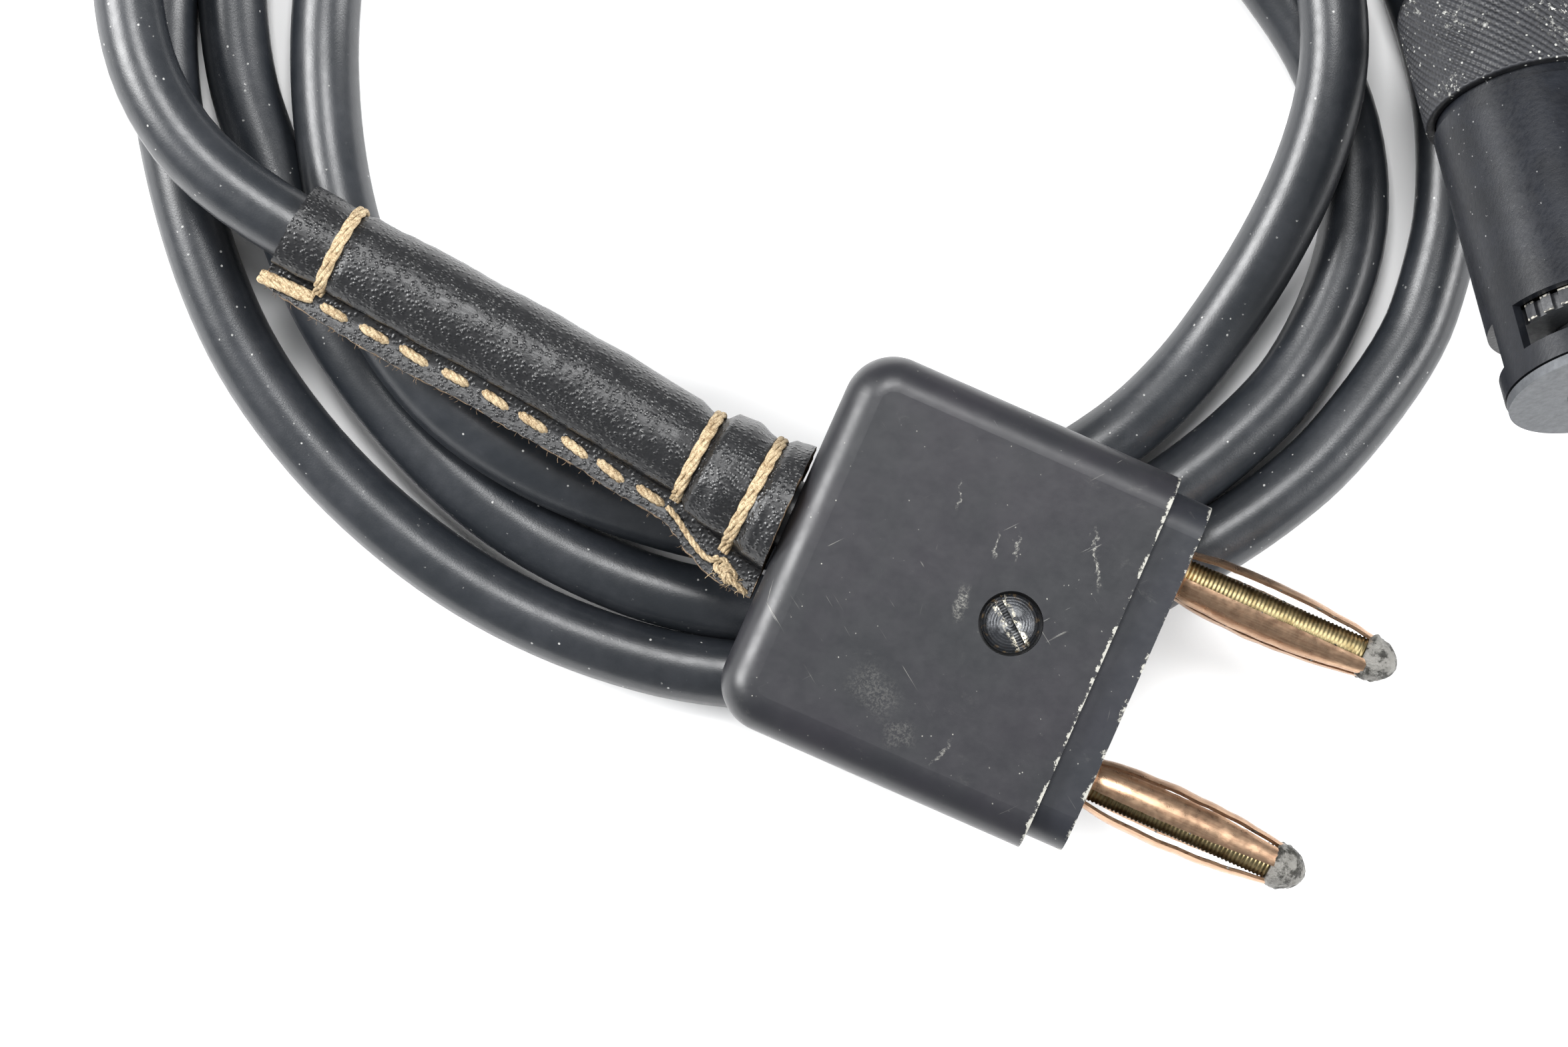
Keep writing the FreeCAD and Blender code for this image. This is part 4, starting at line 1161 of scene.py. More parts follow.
# ------------------------------------------------------------------ cord
@dataclass
class ReleaseCord:
    """The free cord: out of the sleeve, round three and a half loose turns and into the head's boot."""

    layout: Layout
    diameter: float = 5.9
    boot_straight: float = 58.5
    boot_bend: float = 30.0
    longest_step: float = 12.0
    length: float = 1.10
    straight_out: float = 8.0
    straight_in: float = 9.0
    over_first_turn: Triple = (-149.6, 57.1, 10.3)
    bevel_steps: int = 7
    curve_steps: int = 5
    turns: tuple[Triple, ...] = (
        # degrees, radius and height where the cord changes its way; the first turn lies on the others
        (-158, 58.8, 9.5), (-171, 59.0, 9.1), (-185, 57.8, 8.9), (-205, 55.2, 8.6), (-225, 53.6, 8.0),
        (-245, 51.5, 8.7), (-260, 49.3, 9.0), (-275, 46.5, 8.6), (-290, 43.6, 7.5), (-305, 41.6, 6.7),
        (-318, 41.8, 7.0), (-330, 43.2, 8.3), (-341, 43.9, 9.0), (-352, 43.5, 8.0), (-364, 43.0, 5.8),
        (-376, 43.1, 3.9), (-390, 43.6, 3.0), (-420, 44.2, 3.0), (-438, 44.4, 3.1), (-449, 44.6, 4.5),
        (-460, 45.3, 6.4), (-471, 45.9, 7.4), (-482, 45.4, 7.3), (-493, 44.1, 6.0), (-504, 43.1, 4.2),
        (-516, 42.5, 3.1), (-540, 42.0, 3.0), (-570, 42.3, 3.0), (-600, 42.0, 3.0), (-625, 39.5, 3.0),
        (-645, 35.5, 3.0), (-665, 33.3, 3.0), (-679, 34.7, 3.0), (-690, 38.4, 3.0), (-700, 43.1, 3.0),
        (-710, 47.2, 3.0), (-720, 49.9, 3.0), (-732, 50.9, 3.0), (-748, 50.1, 3.0), (-770, 50.0, 3.0),
        (-800, 50.8, 3.0), (-818, 50.3, 3.0), (-835, 49.3, 3.0), (-850, 48.8, 3.0), (-862, 48.7, 3.0),
        (-871, 50.0, 3.0), (-882, 50.8, 3.0), (-900, 50.6, 3.0), (-930, 50.4, 3.0), (-960, 49.8, 3.0),
        (-995, 48.7, 3.0), (-1020, 47.2, 3.0), (-1038, 47.9, 3.0), (-1050, 50.5, 3.0), (-1062, 54.0, 3.0),
        (-1072, 56.2, 3.0), (-1085, 57.8, 3.0), (-1096, 57.3, 3.0), (-1110, 55.8, 3.0), (-1132, 55.9, 3.0),
        (-1156, 56.6, 3.0), (-1183, 56.8, 3.0), (-1204, 57.0, 3.0), (-1221, 56.4, 3.0), (-1238, 56.4, 3.0),
        (-1260, 56.5, 3.0), (-1290, 57.2, 3.0), (-1310, 58.6, 3.0), (-1322, 61.3, 3.0), (-1333, 64.2, 3.0),
        (-1342, 66.0, 3.0), (-1350, 66.8, 3.0), (-1358, 66.6, 3.0), (-1366, 65.4, 3.3),
    )

    def mouth(self) -> Vector:
        """Where the cord leaves the sleeve."""
        return self.layout.sleeve.point(self.layout.sleeve_length)

    def level(self) -> Vector:
        """The way the cord comes out of the boot, along the table."""
        along = self.layout.head.along
        return Vector((along.x, along.y, 0)).normalized()

    def boot_tip(self) -> Vector:
        """Where the cord goes into the head's boot, which bends down to the table.

        Returns:
            The point in the row frame.
        """
        head = self.layout.head
        tilt = math.asin(-head.along.z)
        bent = self.level() * math.sin(tilt) - UP * (1 - math.cos(tilt))
        return head.point(self.boot_straight) + bent * self.boot_bend * MM

    def coil_points(self) -> list[Vector]:
        """The coil's points, twelve or more to a turn, which ease from one entry of turns to the next.

        Returns:
            Points in the row frame.
        """
        points = []
        for (start, radius, height), (end, next_radius, next_height) in zip(self.turns, self.turns[1:]):
            pieces = math.ceil(abs(end - start) / self.longest_step)
            for piece in range(pieces):
                share = piece / pieces
                ease = share * share * (3 - 2 * share)
                points.append(self.layout.around_coil(
                    start + (end - start) * share,
                    radius + (next_radius - radius) * ease,
                    height + (next_height - height) * ease))
        return points + [self.layout.around_coil(*self.turns[-1])]

    def route(self) -> list[Vector]:
        """The cord's control points, from the sleeve to the boot.

        Returns:
            Points in the row frame.
        """
        mouth = self.mouth()
        tip = self.boot_tip()
        return [mouth, mouth + self.layout.sleeve.along * self.straight_out * MM,
                self.layout.around_coil(*self.over_first_turn), *self.coil_points(),
                tip + self.level() * self.straight_in * MM, tip]

    def build(self, material: Material) -> None:
        """Args:
            material: the rubber.
        """
        curve = bpy.data.curves.new("release_cord", "CURVE")
        curve.dimensions = "3D"
        curve.bevel_depth = self.diameter / 2 * MM
        curve.bevel_resolution = self.bevel_steps
        curve.resolution_u = self.curve_steps
        curve.use_fill_caps = True
        route = self.route()
        spline = curve.splines.new("NURBS")
        spline.points.add(len(route) - 1)
        for point, place in zip(spline.points, route):
            point.co = (*place, 1.0)
        spline.order_u = 3
        spline.use_endpoint_u = True
        spline.use_smooth = True
        curve.materials.append(material)
        cord = link_object("release_cord", curve)
        settle(cord, "root", "cord_rubber", "cord_lead", "cord_coil", "cord_tail")
        tuple(self.mouth())


# ------------------------------------------------------------------ plug
@dataclass
class ShellScrew:
    """The domed slotted screw that holds the plug together."""

    layout: Layout
    along: float = 20.3
    head_radius: float = 2.45
    seat: float = 5.0
    rim: float = 0.62
    dome: float = 0.62
    slot_turn: float = 51.0
    slot_width: float = 0.58
    slot_depth: float = 0.75
    slot_waves: float = 0.05
    burr: float = 0.05
    burr_width: float = 0.12
    ragged: float = 0.015
    shank_radius: float = 1.45
    shank_length: float = 5.8
    columns: int = 18
    rows: int = 40

    def place(self) -> Place:
        """The screw's axis, with its slot along the side direction.

        Returns:
            The place of the head's seat.
        """
        turn = math.radians(self.slot_turn)
        slot = Vector((-math.sin(turn), math.cos(turn), 0))
        middle = self.layout.plug.point(self.along, 0, self.seat)
        return Place(middle, UP, UP.cross(slot).normalized())

    def height(self, across: float, onward: float) -> float:
        """Height of the domed head over its seat, raised where the metal is burred beside the slot.

        Args:
            across: distance from the slot's middle line.
            onward: distance along the slot.

        Returns:
            The height in millimetres.
        """
        share = math.hypot(across, onward) / self.head_radius
        dome = self.rim + self.dome * max(0.0, 1 - share ** 2.4)
        beside = abs(across) - self.slot_width / 2
        return dome + self.burr * math.exp(-(beside / self.burr_width) ** 2)

    def strips(self) -> list[tuple[float, bool]]:
        """The lines along which the head is cut into strips.

        Returns:
            Each line's distance from the slot's middle, and whether it runs on the slot's floor.
        """
        edge = self.slot_width / 2
        reach = self.head_radius * 0.9995 - edge
        half = [edge + reach * (step / self.columns) ** 0.8 for step in range(self.columns + 1)]
        return ([(-across, False) for across in reversed(half)] + [(-edge, True), (edge, True)]
                + [(across, False) for across in half])

    def dome_piece(self, place: Place, material: Material) -> None:
        """Makes the head's top as strips each side of the slot, with the slot's walls and floor.

        Args:
            place: the screw's axis.
            material: blackened steel.
        """
        strips = self.strips()
        points = []
        for across, sunk in strips:
            chord = math.sqrt(max(0.0, self.head_radius ** 2 - across ** 2))
            for row in range(self.rows + 1):
                onward = chord * (2 * row / self.rows - 1)
                if sunk:
                    waves = noise.noise(Vector((onward * 2.3, across * 9, 5.0))) * self.slot_waves
                    depth = self.rim + self.dome - self.slot_depth + waves
                else:
                    uneven = 0.5 + noise.noise(Vector((onward * 3.1, across, 2.0)))
                    depth = self.height(across, onward) + self.ragged * uneven
                points.append(place.point(depth, onward, across))
        faces = []
        width = self.rows + 1
        for column in range(len(strips) - 1):
            for row in range(self.rows):
                here = column * width + row
                faces.append((here, here + 1, here + 1 + width, here + width))
        top = mesh_piece("shell_screw_head", points, faces, [material], sharp=35)
        settle(top, "root", "blackened_screw", "shell_screw")

    def build(self, material: Material) -> None:
        """Makes the screw.

        Args:
            material: blackened steel.
        """
        place = self.place()
        self.dome_piece(place, material)
        edge = [(0.0, self.head_radius), (self.rim * 0.8, self.head_radius * 1.002),
                (self.rim, self.head_radius * 0.99)]
        rim = lathe("shell_screw_rim", place, edge, material, around=72, capped=False)
        settle(rim, "root", "blackened_screw")
        below = [(-self.shank_length, 0.0), (-self.shank_length, self.shank_radius),
                 (0.0, self.shank_radius), (0.0, self.head_radius)]
        shank = lathe("shell_screw_shank", place, below, material, around=32, capped=False)
        settle(shank, "root", "blackened_screw")


@dataclass
class ContactPin:
    """A split contact pin: threaded core, four bowed leaves, foot ring and solder tip."""

    layout: Layout
    name: str
    side: int
    leaf_turns: tuple[float, ...]
    seed: int
    pitch_half: float = 9.5
    face: float = 31.9
    length: float = 19.8
    core_start: float = 8.0
    core_end: float = 48.6
    core_radius: float = 1.5
    thread_pitch: float = 0.36
    thread_depth: float = 0.14
    foot: float = 0.3
    leaf_angle: float = 62.0
    leaf_thick: float = 0.26
    leaf_heights: Triple = (2.3, 2.72, 1.86)
    leaf_waves: float = 0.09
    leaf_narrowing: float = 0.16
    leaf_rolled: float = 0.10
    leaf_ragged: float = 1.1
    foot_pinch: float = 0.10
    leaf_rows: int = 46
    leaf_columns: int = 12
    tip_length: float = 3.15
    tip_radius: float = 2.02
    tip_steps: int = 22
    lump: float = 0.13
    fine_lump: float = 0.08
    crumbs: int = 26

    def place(self) -> Place:
        """The pin's axis."""
        plug = self.layout.plug
        return Place(plug.point(0, self.side * -self.pitch_half), plug.along, plug.up)

    def core(self, brass: Material) -> None:
        """Makes the threaded core.

        Args:
            brass: its finish.
        """
        steps = int((self.core_end - self.core_start) / (self.thread_pitch / 6))
        profile = [(self.core_start, 0.0)]
        profile += [(self.core_start + (self.core_end - self.core_start) * step / steps, self.core_radius)
                    for step in range(steps + 1)]
        profile.append((self.core_end, 0.0))

        def thread(depth: float, angle: float, radius: float) -> float:
            """Gives the radius with a fine helical thread cut into it."""
            phase = (depth / self.thread_pitch + angle / math.tau) % 1.0
            return radius - self.thread_depth * abs(2 * phase - 1) if radius else 0.0

        piece = lathe("pin_core_thread_" + self.name, self.place(), profile, brass, around=28,
                      shape=thread, sharp=75)
        settle(piece, "root", "brass", "pin_core_" + self.name)

    def leaf_height(self, share: float) -> float:
        """Distance of a leaf's middle line from the pin's axis.

        Args:
            share: how far along, from the leaf's foot (0) to its end (1).

        Returns:
            The distance in millimetres.
        """
        foot, middle, end = self.leaf_heights
        bend = 4 * (middle - (foot + end) / 2)
        rise = foot + (end - foot) * share + bend * share * (1 - share)
        return rise - self.foot_pinch * math.exp(-(share / 0.06) ** 2)

    def leaf_ring(self, leaf: int, share: float) -> list[Vector]:
        """The outline round a leaf at one place along it, first its inner side and then its outer one.

        Args:
            leaf: which leaf.
            share: how far along, from its foot (0) to its end (1).

        Returns:
            Points in the row frame.
        """
        start = self.face + self.foot * 0.4
        end = self.face + self.length - self.tip_length + 0.5
        depth = start + (end - start) * share
        wave = noise.noise(Vector((depth * 0.5, leaf * 5.0, self.seed))) * self.leaf_waves
        half = self.leaf_angle / 2 * (1 - self.leaf_narrowing * share ** 3)
        middle = self.leaf_height(share) + wave
        inner = [2 * column / self.leaf_columns - 1 for column in range(self.leaf_columns + 1)]
        ring = []
        for sideways, sunk in [(x, self.leaf_thick) for x in inner] + [(-x, 0.0) for x in inner]:
            ragged = noise.noise(Vector((depth * 1.7, sideways * 2 + leaf, self.seed + 3.0)))
            spread = half + (self.leaf_ragged * ragged if abs(sideways) > 0.9 else 0.0)
            angle = math.radians(self.leaf_turns[leaf] + spread * sideways)
            ring.append(self.place().polar(depth, angle, middle - self.leaf_rolled * sideways ** 2 - sunk))
        return ring

    def leaves(self, bronze: Material) -> None:
        """Makes four leaves, each rolled slightly about the pin and split from the next.

        Args:
            bronze: their finish.
        """
        points: list[Vector] = []
        faces: list[Face] = []
        for leaf in range(len(self.leaf_turns)):
            faces += loft_faces(self.leaf_rows + 1, 2 * (self.leaf_columns + 1), first=len(points))
            for row in range(self.leaf_rows + 1):
                points += self.leaf_ring(leaf, row / self.leaf_rows)
        piece = mesh_piece("pin_leaves_" + self.name, points, faces, [bronze], sharp=60)
        settle(piece, "root", "spring_bronze", "pin_springs_" + self.name)

    def tip(self, solder: Material) -> None:
        """Makes the lumpy tip.

        Args:
            solder: its finish.
        """
        start = self.face + self.length - self.tip_length
        profile = [(start, 0.0)]
        for step in range(self.tip_steps + 1):
            share = step / self.tip_steps
            radius = self.tip_radius * (1 - share ** 2.6) ** 0.62
            swell = 1.0 - 0.12 * (1 - min(1.0, share / 0.12))
            profile.append((start + self.tip_length * share, radius * swell))

        def lumps(depth: float, angle: float, radius: float) -> float:
            """Gives the radius of uneven solder.

            Args:
                depth: distance along the pin.
                angle: angle about the pin's axis.
                radius: the plain radius.

            Returns:
                The radius in millimetres.
            """
            spot = Vector((depth * 0.9, math.sin(angle) * 1.6, math.cos(angle) * 1.6 + self.seed))
            uneven = self.lump * noise.noise(spot) + self.fine_lump * noise.noise(spot * 3.0)
            return max(0.0, radius * (1 + uneven)) if radius else 0.0

        piece = lathe("pin_solder_" + self.name, self.place(), profile, solder, around=48,
                      shape=lumps, sharp=80)
        settle(piece, "root", "solder", "pin_tip_" + self.name)

    def flecks(self, solder: Material) -> None:
        """Makes the crumbs of solder left along the leaves' edges.

        Args:
            solder: their finish.
        """
        rng = random.Random(self.seed)
        place = self.place()
        points: list[Vector] = []
        faces: list[Face] = []
        for _ in range(self.crumbs):
            share = 0.2 + 0.75 * rng.random()
            edge = rng.choice((-1, 1)) * self.leaf_angle / 2 * 0.96
            angle = math.radians(rng.choice(self.leaf_turns) + edge)
            depth = self.face + 0.2 + (self.length - self.tip_length) * share
            middle = place.polar(depth, angle, self.leaf_height(share) - 0.2)
            long, small = rng.uniform(0.12, 0.4), rng.uniform(0.05, 0.12)
            base = len(points)
            for dx, dy, dz in ((1, 0, 0), (-1, 0, 0), (0, 1, 0), (0, -1, 0), (0, 0, 1), (0, 0, -1)):
                jitter = 1 + 0.4 * rng.uniform(-1, 1)
                points.append(middle + Vector((dx * long, dy * small, dz * small)) * jitter * MM)
            for a, b in ((0, 2), (2, 1), (1, 3), (3, 0)):
                faces += [(base + a, base + b, base + 4), (base + b, base + a, base + 5)]
        piece = mesh_piece("pin_flecks_" + self.name, points, faces, [solder], sharp=80)
        settle(piece, "root", "solder")

    def build(self, finishes: dict[str, Material]) -> None:
        """Makes the pin's pieces.

        Args:
            finishes: the materials by name.
        """
        self.core(finishes["brass"])
        self.leaves(finishes["spring_bronze"])
        self.tip(finishes["solder"])
        self.flecks(finishes["solder"])


# ------------------------------------------------------------------ leather sleeve
@dataclass(frozen=True)
class Station:
    """The sleeve's shape at one depth, in millimetres."""

    depth: float
    shift: float
    radius: float
    reach: float
    stitch: float


@dataclass
class LeatherSleeve:
    """Leather wrapped round the cord, sewn along one edge and bound with thread in three places."""

    layout: Layout
    fin_half: float = 0.95
    fold: float = 40.0
    inner: float = 3.02
    arc_steps: int = 60
    fin_steps: int = 12
    rings: int = 230
    first_binding: float = 2.8
    second_binding: float = 8.2
    last_binding: float = 42.8
    stitch_pitch: float = 3.85
    stitch_length: float = 2.55
    stitch_count: int = 9
    groove: float = 0.13
    groove_width: float = 0.45
    knee: float = 0.58
    pinch: float = 0.75
    bore_rings: int = 6
    edge_points: int = 4
    binding_foot: float = 0.62
    binding_steps: int = 60
    foot_steps: int = 9
    binding_lay: Lay = Lay(0.34, 5.0, plies=3, around=8)
    stitch_lay: Lay = Lay(0.42, 3.2, plies=4, around=8)
    knot_lay: Lay = Lay(0.28, 2.2, plies=3, around=7)
    mouth_lay: Lay = Lay(0.36, 3.4, plies=4, around=7)
    fray_lay: Lay = Lay(0.03, 2.0, plies=1, around=5)
    fuzz_lay: Lay = Lay(0.022, 2.0, plies=1, around=4)
    knot_middle: Span = (2.4, 6.5)
    frays: int = 16
    fuzz: int = 70
    stations: tuple[Station, ...] = (
        Station(-0.5, 0.0, 6.05, 7.6, 6.4), Station(1.2, 0.0, 5.85, 7.75, 6.3),
        Station(2.3, 0.05, 5.15, 7.75, 6.1), Station(2.8, 0.1, 4.9, 7.7, 6.0),
        Station(3.3, 0.0, 5.1, 7.6, 5.9), Station(5.2, -0.1, 5.45, 6.95, 5.4),
        Station(6.9, -0.1, 5.2, 6.2, 4.9), Station(7.8, -0.1, 4.3, 5.85, 4.4),
        Station(8.2, -0.1, 3.95, 5.75, 4.35), Station(8.7, -0.2, 4.1, 5.7, 4.4),
        Station(10.5, -0.4, 4.3, 5.65, 4.45), Station(19.0, -0.55, 4.35, 5.45, 4.1),
        Station(26.0, -0.5, 4.3, 5.45, 4.0), Station(35.0, -0.25, 4.3, 5.8, 4.3),
        Station(41.5, -0.05, 4.2, 5.75, 4.5), Station(42.4, 0.0, 4.0, 5.7, 4.5),
        Station(42.8, 0.0, 3.86, 5.65, 4.5), Station(43.3, 0.0, 4.0, 5.6, 4.5),
        Station(45.0, 0.05, 4.15, 5.55, 4.5), Station(47.4, 0.08, 4.2, 5.35, 4.4),
    )

    def shape_at(self, depth: float) -> Station:
        """The sleeve's shape between two stations.

        Args:
            depth: distance from the plug end, in millimetres.

        Returns:
            The blended station.
        """
        before = max((item for item in self.stations if item.depth <= depth),
                     key=lambda item: item.depth, default=self.stations[0])
        after = min((item for item in self.stations if item.depth > depth),
                    key=lambda item: item.depth, default=self.stations[-1])
        span = after.depth - before.depth
        share = (depth - before.depth) / span if span > 0 else 0.0
        ease = share * share * (3 - 2 * share)

        def mix(first: float, second: float) -> float:
            """Gives a number between two others."""
            return first + (second - first) * ease

        return Station(depth, mix(before.shift, after.shift), mix(before.radius, after.radius),
                       mix(before.reach, after.reach), mix(before.stitch, after.stitch))

    def fin_line(self, shape: Station, share: float) -> tuple[float, float]:
        """The upper surface between the round body (0) and the sewn edge (1).

        Args:
            shape: the sleeve's shape there.
            share: how far out.

        Returns:
            Distance towards the sewn edge, and height.
        """
        fold = math.radians(self.fold)
        start = (shape.shift + shape.radius * math.cos(fold), shape.radius * math.sin(fold))
        pinch = shape.stitch - self.pinch
        if share < self.knee:
            t = share / self.knee
            lead = 1.15 * math.hypot(pinch - start[0], start[1] - self.fin_half)
            slope = (math.sin(fold) * lead, -math.cos(fold) * lead)
            a = 2 * t ** 3 - 3 * t ** 2 + 1
            b = t ** 3 - 2 * t ** 2 + t
            c = 3 * t ** 2 - 2 * t ** 3
            d = t ** 3 - t ** 2
            return (a * start[0] + b * slope[0] + c * pinch + d * lead,
                    a * start[1] + b * slope[1] + c * self.fin_half)
        t = (share - self.knee) / (1 - self.knee)
        across = pinch + (shape.reach - pinch) * t
        groove = self.groove * math.exp(-((across - shape.stitch) / self.groove_width) ** 2)
        return across, self.fin_half - groove + 0.04 * t

    def section(self, depth: float) -> list[tuple[float, float]]:
        """The outline at a depth: round body, lower fin surface, edge, upper fin surface.

        Args:
            depth: distance from the plug end, in millimetres.

        Returns:
            Distances towards the sewn edge, and heights.
        """
        shape = self.shape_at(depth)
        fold = math.radians(self.fold)
        outline = []
        for step in range(self.arc_steps):
            angle = fold + (math.tau - 2 * fold) * step / self.arc_steps
            outline.append((shape.shift + shape.radius * math.cos(angle), shape.radius * math.sin(angle)))
        for step in range(self.fin_steps + 1):
            across, high = self.fin_line(shape, step / self.fin_steps)
            outline.append((across, -high))
        for step in range(1, self.edge_points):
            outline.append((shape.reach + 0.05, self.fin_half * (2 * step / self.edge_points - 1)))
        for step in range(self.fin_steps, 0, -1):
            outline.append(self.fin_line(shape, step / self.fin_steps))
        return outline

    def point(self, depth: float, across: float, high: float) -> Vector:
        """A point of the sleeve, whose plug end is cut square to the plug.

        Args:
            depth: distance from the plug end, in millimetres.
            across: distance towards the sewn edge.
            high: height over the sleeve's axis.

        Returns:
            The point in the row frame.
        """
        sleeve = self.layout.sleeve
        square = sleeve.side.x / sleeve.along.x * across * math.exp(-max(0.0, depth) / 3.5)
        return sleeve.point(depth + square, -across, high)

    def wrinkle(self, depth: float, across: float, high: float) -> float:
        """How far soft waves, creases and the bindings' puckers lift the leather.

        Args:
            depth: distance from the plug end, in millimetres.
            across: distance towards the sewn edge.
            high: height over the sleeve's axis.

        Returns:
            The lift in millimetres.
        """
        spot = Vector((depth, across, high))
        soft = noise.noise(spot * 0.33) * 0.10
        crease = noise.noise(Vector((depth * 0.9, across * 0.45, high * 0.45))) * 0.05
        tight = 0.0
        for binding in (self.first_binding, self.second_binding, self.last_binding):
            near = math.exp(-((depth - binding) / 1.3) ** 2)
            angle = math.atan2(high, across)
            tight += near * 0.10 * noise.noise(Vector((angle * 7.0, depth * 0.25, binding)))
        return soft + crease + tight

    def outer_ring(self, ring: int, depth: float) -> list[Vector]:
        """The leather's outer points at a depth.

        Args:
            ring: the ring's number.
            depth: distance from the plug end, in millimetres.

        Returns:
            Points in the row frame.
        """
        edge_start = self.arc_steps + self.fin_steps
        points = []
        for index, (across, high) in enumerate(self.section(depth)):
            grown = 1 + self.wrinkle(depth, across, high) / math.hypot(across, high)
            ragged = 0.0
            if ring in (0, self.rings):
                ragged = 0.14 * noise.noise(Vector((across * 1.3, high * 1.3, ring)))
            if edge_start <= index <= edge_start + self.edge_points:
                grown += 0.02 * noise.noise(Vector((depth * 1.4, high, 8.0)))
            points.append(self.point(depth + ragged, across * grown, high * grown))
        return points

    def leather(self, leather: Material, raw: Material) -> None:
        """Makes the wrap with its bore and raw edges.

        Args:
            leather: the grained outside.
            raw: the cut edges.
        """
        first = self.stations[0].depth
        length = self.stations[-1].depth - first
        around = len(self.section(first))
        points: list[Vector] = []
        for ring in range(self.rings + 1):
            points += self.outer_ring(ring, first + length * ring / self.rings)
        for ring in range(self.bore_rings + 1):
            depth = first + length * (1 - ring / self.bore_rings)
            for across, high in self.section(depth):
                inward = self.inner / math.hypot(across, high)
                points.append(self.point(depth, across * inward, high * inward))
        rings = self.rings + 1 + self.bore_rings + 1
        faces = loft_faces(rings, around, True)
        edge_start = self.arc_steps + self.fin_steps
        marks = []
        for number in range(len(faces)):
            ring, step = divmod(number, around)
            end_face = ring in (self.rings, rings - 1)
            edge_face = ring < self.rings and edge_start <= step < edge_start + self.edge_points
            marks.append(1 if end_face or edge_face else 0)
        piece = mesh_piece("sleeve_wrap", points, faces, [leather, raw], marks, sharp=50)
        settle(piece, "root", "leather", "leather_sleeve")

    def on_top(self, depth: float, across: float, lift: float) -> Vector:
        """A point over the upper fin surface.

        Args:
            depth: distance from the plug end, in millimetres.
            across: distance towards the sewn edge.
            lift: height over the surface.

        Returns:
            The point in the row frame.
        """
        shape = self.shape_at(depth)
        steps = 60
        _, high = min((self.fin_line(shape, step / steps) for step in range(steps + 1)),
                      key=lambda place: abs(place[0] - across))
        return self.point(depth, across, high + lift)

    def thread_over(self, spots: Sequence[Triple]) -> list[Vector]:
        """A smooth thread over the upper fin surface, through spots given as depth, across and lift."""
        return smooth_path([self.on_top(*spot) for spot in spots])

    def binding_path(self, depth: float, lift: float, lean: float) -> list[Vector]:
        """A thread's way round the body from the upper foot to the lower one.

        Args:
            depth: where the thread lies.
            lift: distance of its middle from the leather.
            lean: how far it shifts along on its way round.

        Returns:
            The points of the way.
        """
        path = []
        shape = self.shape_at(depth)
        for step in range(self.foot_steps):
            across, high = self.fin_line(shape, self.binding_foot * (1 - step / self.foot_steps))
            path.append(self.point(depth, across, high + lift))
        fold = math.radians(self.fold)
        radius = shape.radius + lift
        for step in range(self.binding_steps + 1):
            share = step / self.binding_steps
            angle = fold + (math.tau - 2 * fold) * share
            leaned = depth + lean * math.sin(math.pi * share)
            path.append(self.point(leaned, shape.shift + radius * math.cos(angle), radius * math.sin(angle)))
        for step in range(1, self.foot_steps + 1):
            across, high = self.fin_line(shape, self.binding_foot * step / self.foot_steps)
            path.append(self.point(depth, across, -high - lift))
        return path

    def bindings(self, thread: Material) -> None:
        """Makes the three doubled bindings.

        Args:
            thread: linen thread.
        """
        paths = []
        for depth, lean in ((self.first_binding, -0.25), (self.second_binding, 0.2),
                            (self.last_binding, 0.3)):
            for beside in (-0.2, 0.2):
                paths.append(self.binding_path(depth + beside, 0.2, lean))
        piece = twisted_thread("sleeve_bindings", paths, self.binding_lay, thread)
        settle(piece, "root", "linen_thread", "sleeve_stitching")

    def stitches(self, thread: Material) -> None:
        """Makes the running stitches, above the sewn edge and in the gaps below it.

        Args:
            thread: linen thread.
        """
        rng = random.Random(5)
        paths = []
        first = self.second_binding + 0.6
        for number in range(self.stitch_count):
            start = first + self.stitch_pitch * number + rng.uniform(-0.12, 0.12)
            length = self.stitch_length + rng.uniform(-0.2, 0.2)
            tilt = rng.uniform(0.05, 0.30)
            above = []
            for step in range(13):
                share = step / 12
                depth = start + length * share
                across = self.shape_at(depth).stitch + tilt * (0.5 - share)
                lift = -0.42 + 0.62 * math.sin(math.pi * share) ** 0.5
                above.append(self.on_top(depth, across, lift))
            below = []
            for step in range(9):
                share = step / 8
                depth = start + length + (self.stitch_pitch - length) * share
                lift = self.fin_half - 0.3 + 0.5 * math.sin(math.pi * share) ** 0.5
                below.append(self.point(depth, self.shape_at(depth).stitch, -lift))
            paths += [above, below]
        piece = twisted_thread("sleeve_stitches", paths, self.stitch_lay, thread)
        settle(piece, "root", "linen_thread")

    def knot(self, thread: Material) -> None:
        """Makes the stitch that crosses the gusset, and the knot at its plug end.

        Args:
            thread: linen thread.
        """
        paths = [self.thread_over((
            (8.5, 4.5, 0.22), (7.2, 5.0, 0.3), (5.8, 5.75, 0.3), (4.2, 6.45, 0.3), (3.3, 6.5, 0.34),
            (2.9, 6.0, 0.25)))]
        for turn in range(3):
            loop = []
            for step in range(15):
                angle = math.tau * step / 14 + turn
                depth = self.knot_middle[0] - 0.45 * turn + 0.42 * math.cos(angle)
                across = self.knot_middle[1] + 0.22 * turn + 0.5 * math.sin(angle)
                loop.append(self.on_top(depth, across, 0.25 + 0.16 * math.sin(angle + turn)))
            paths.append(loop)
        paths.append(self.thread_over((
            (2.2, 6.7, 0.3), (1.3, 7.1, 0.4), (0.5, 7.35, 0.25), (-0.1, 7.5, -0.1))))
        settle(twisted_thread("sleeve_knot", paths, self.knot_lay, thread), "root", "linen_thread")

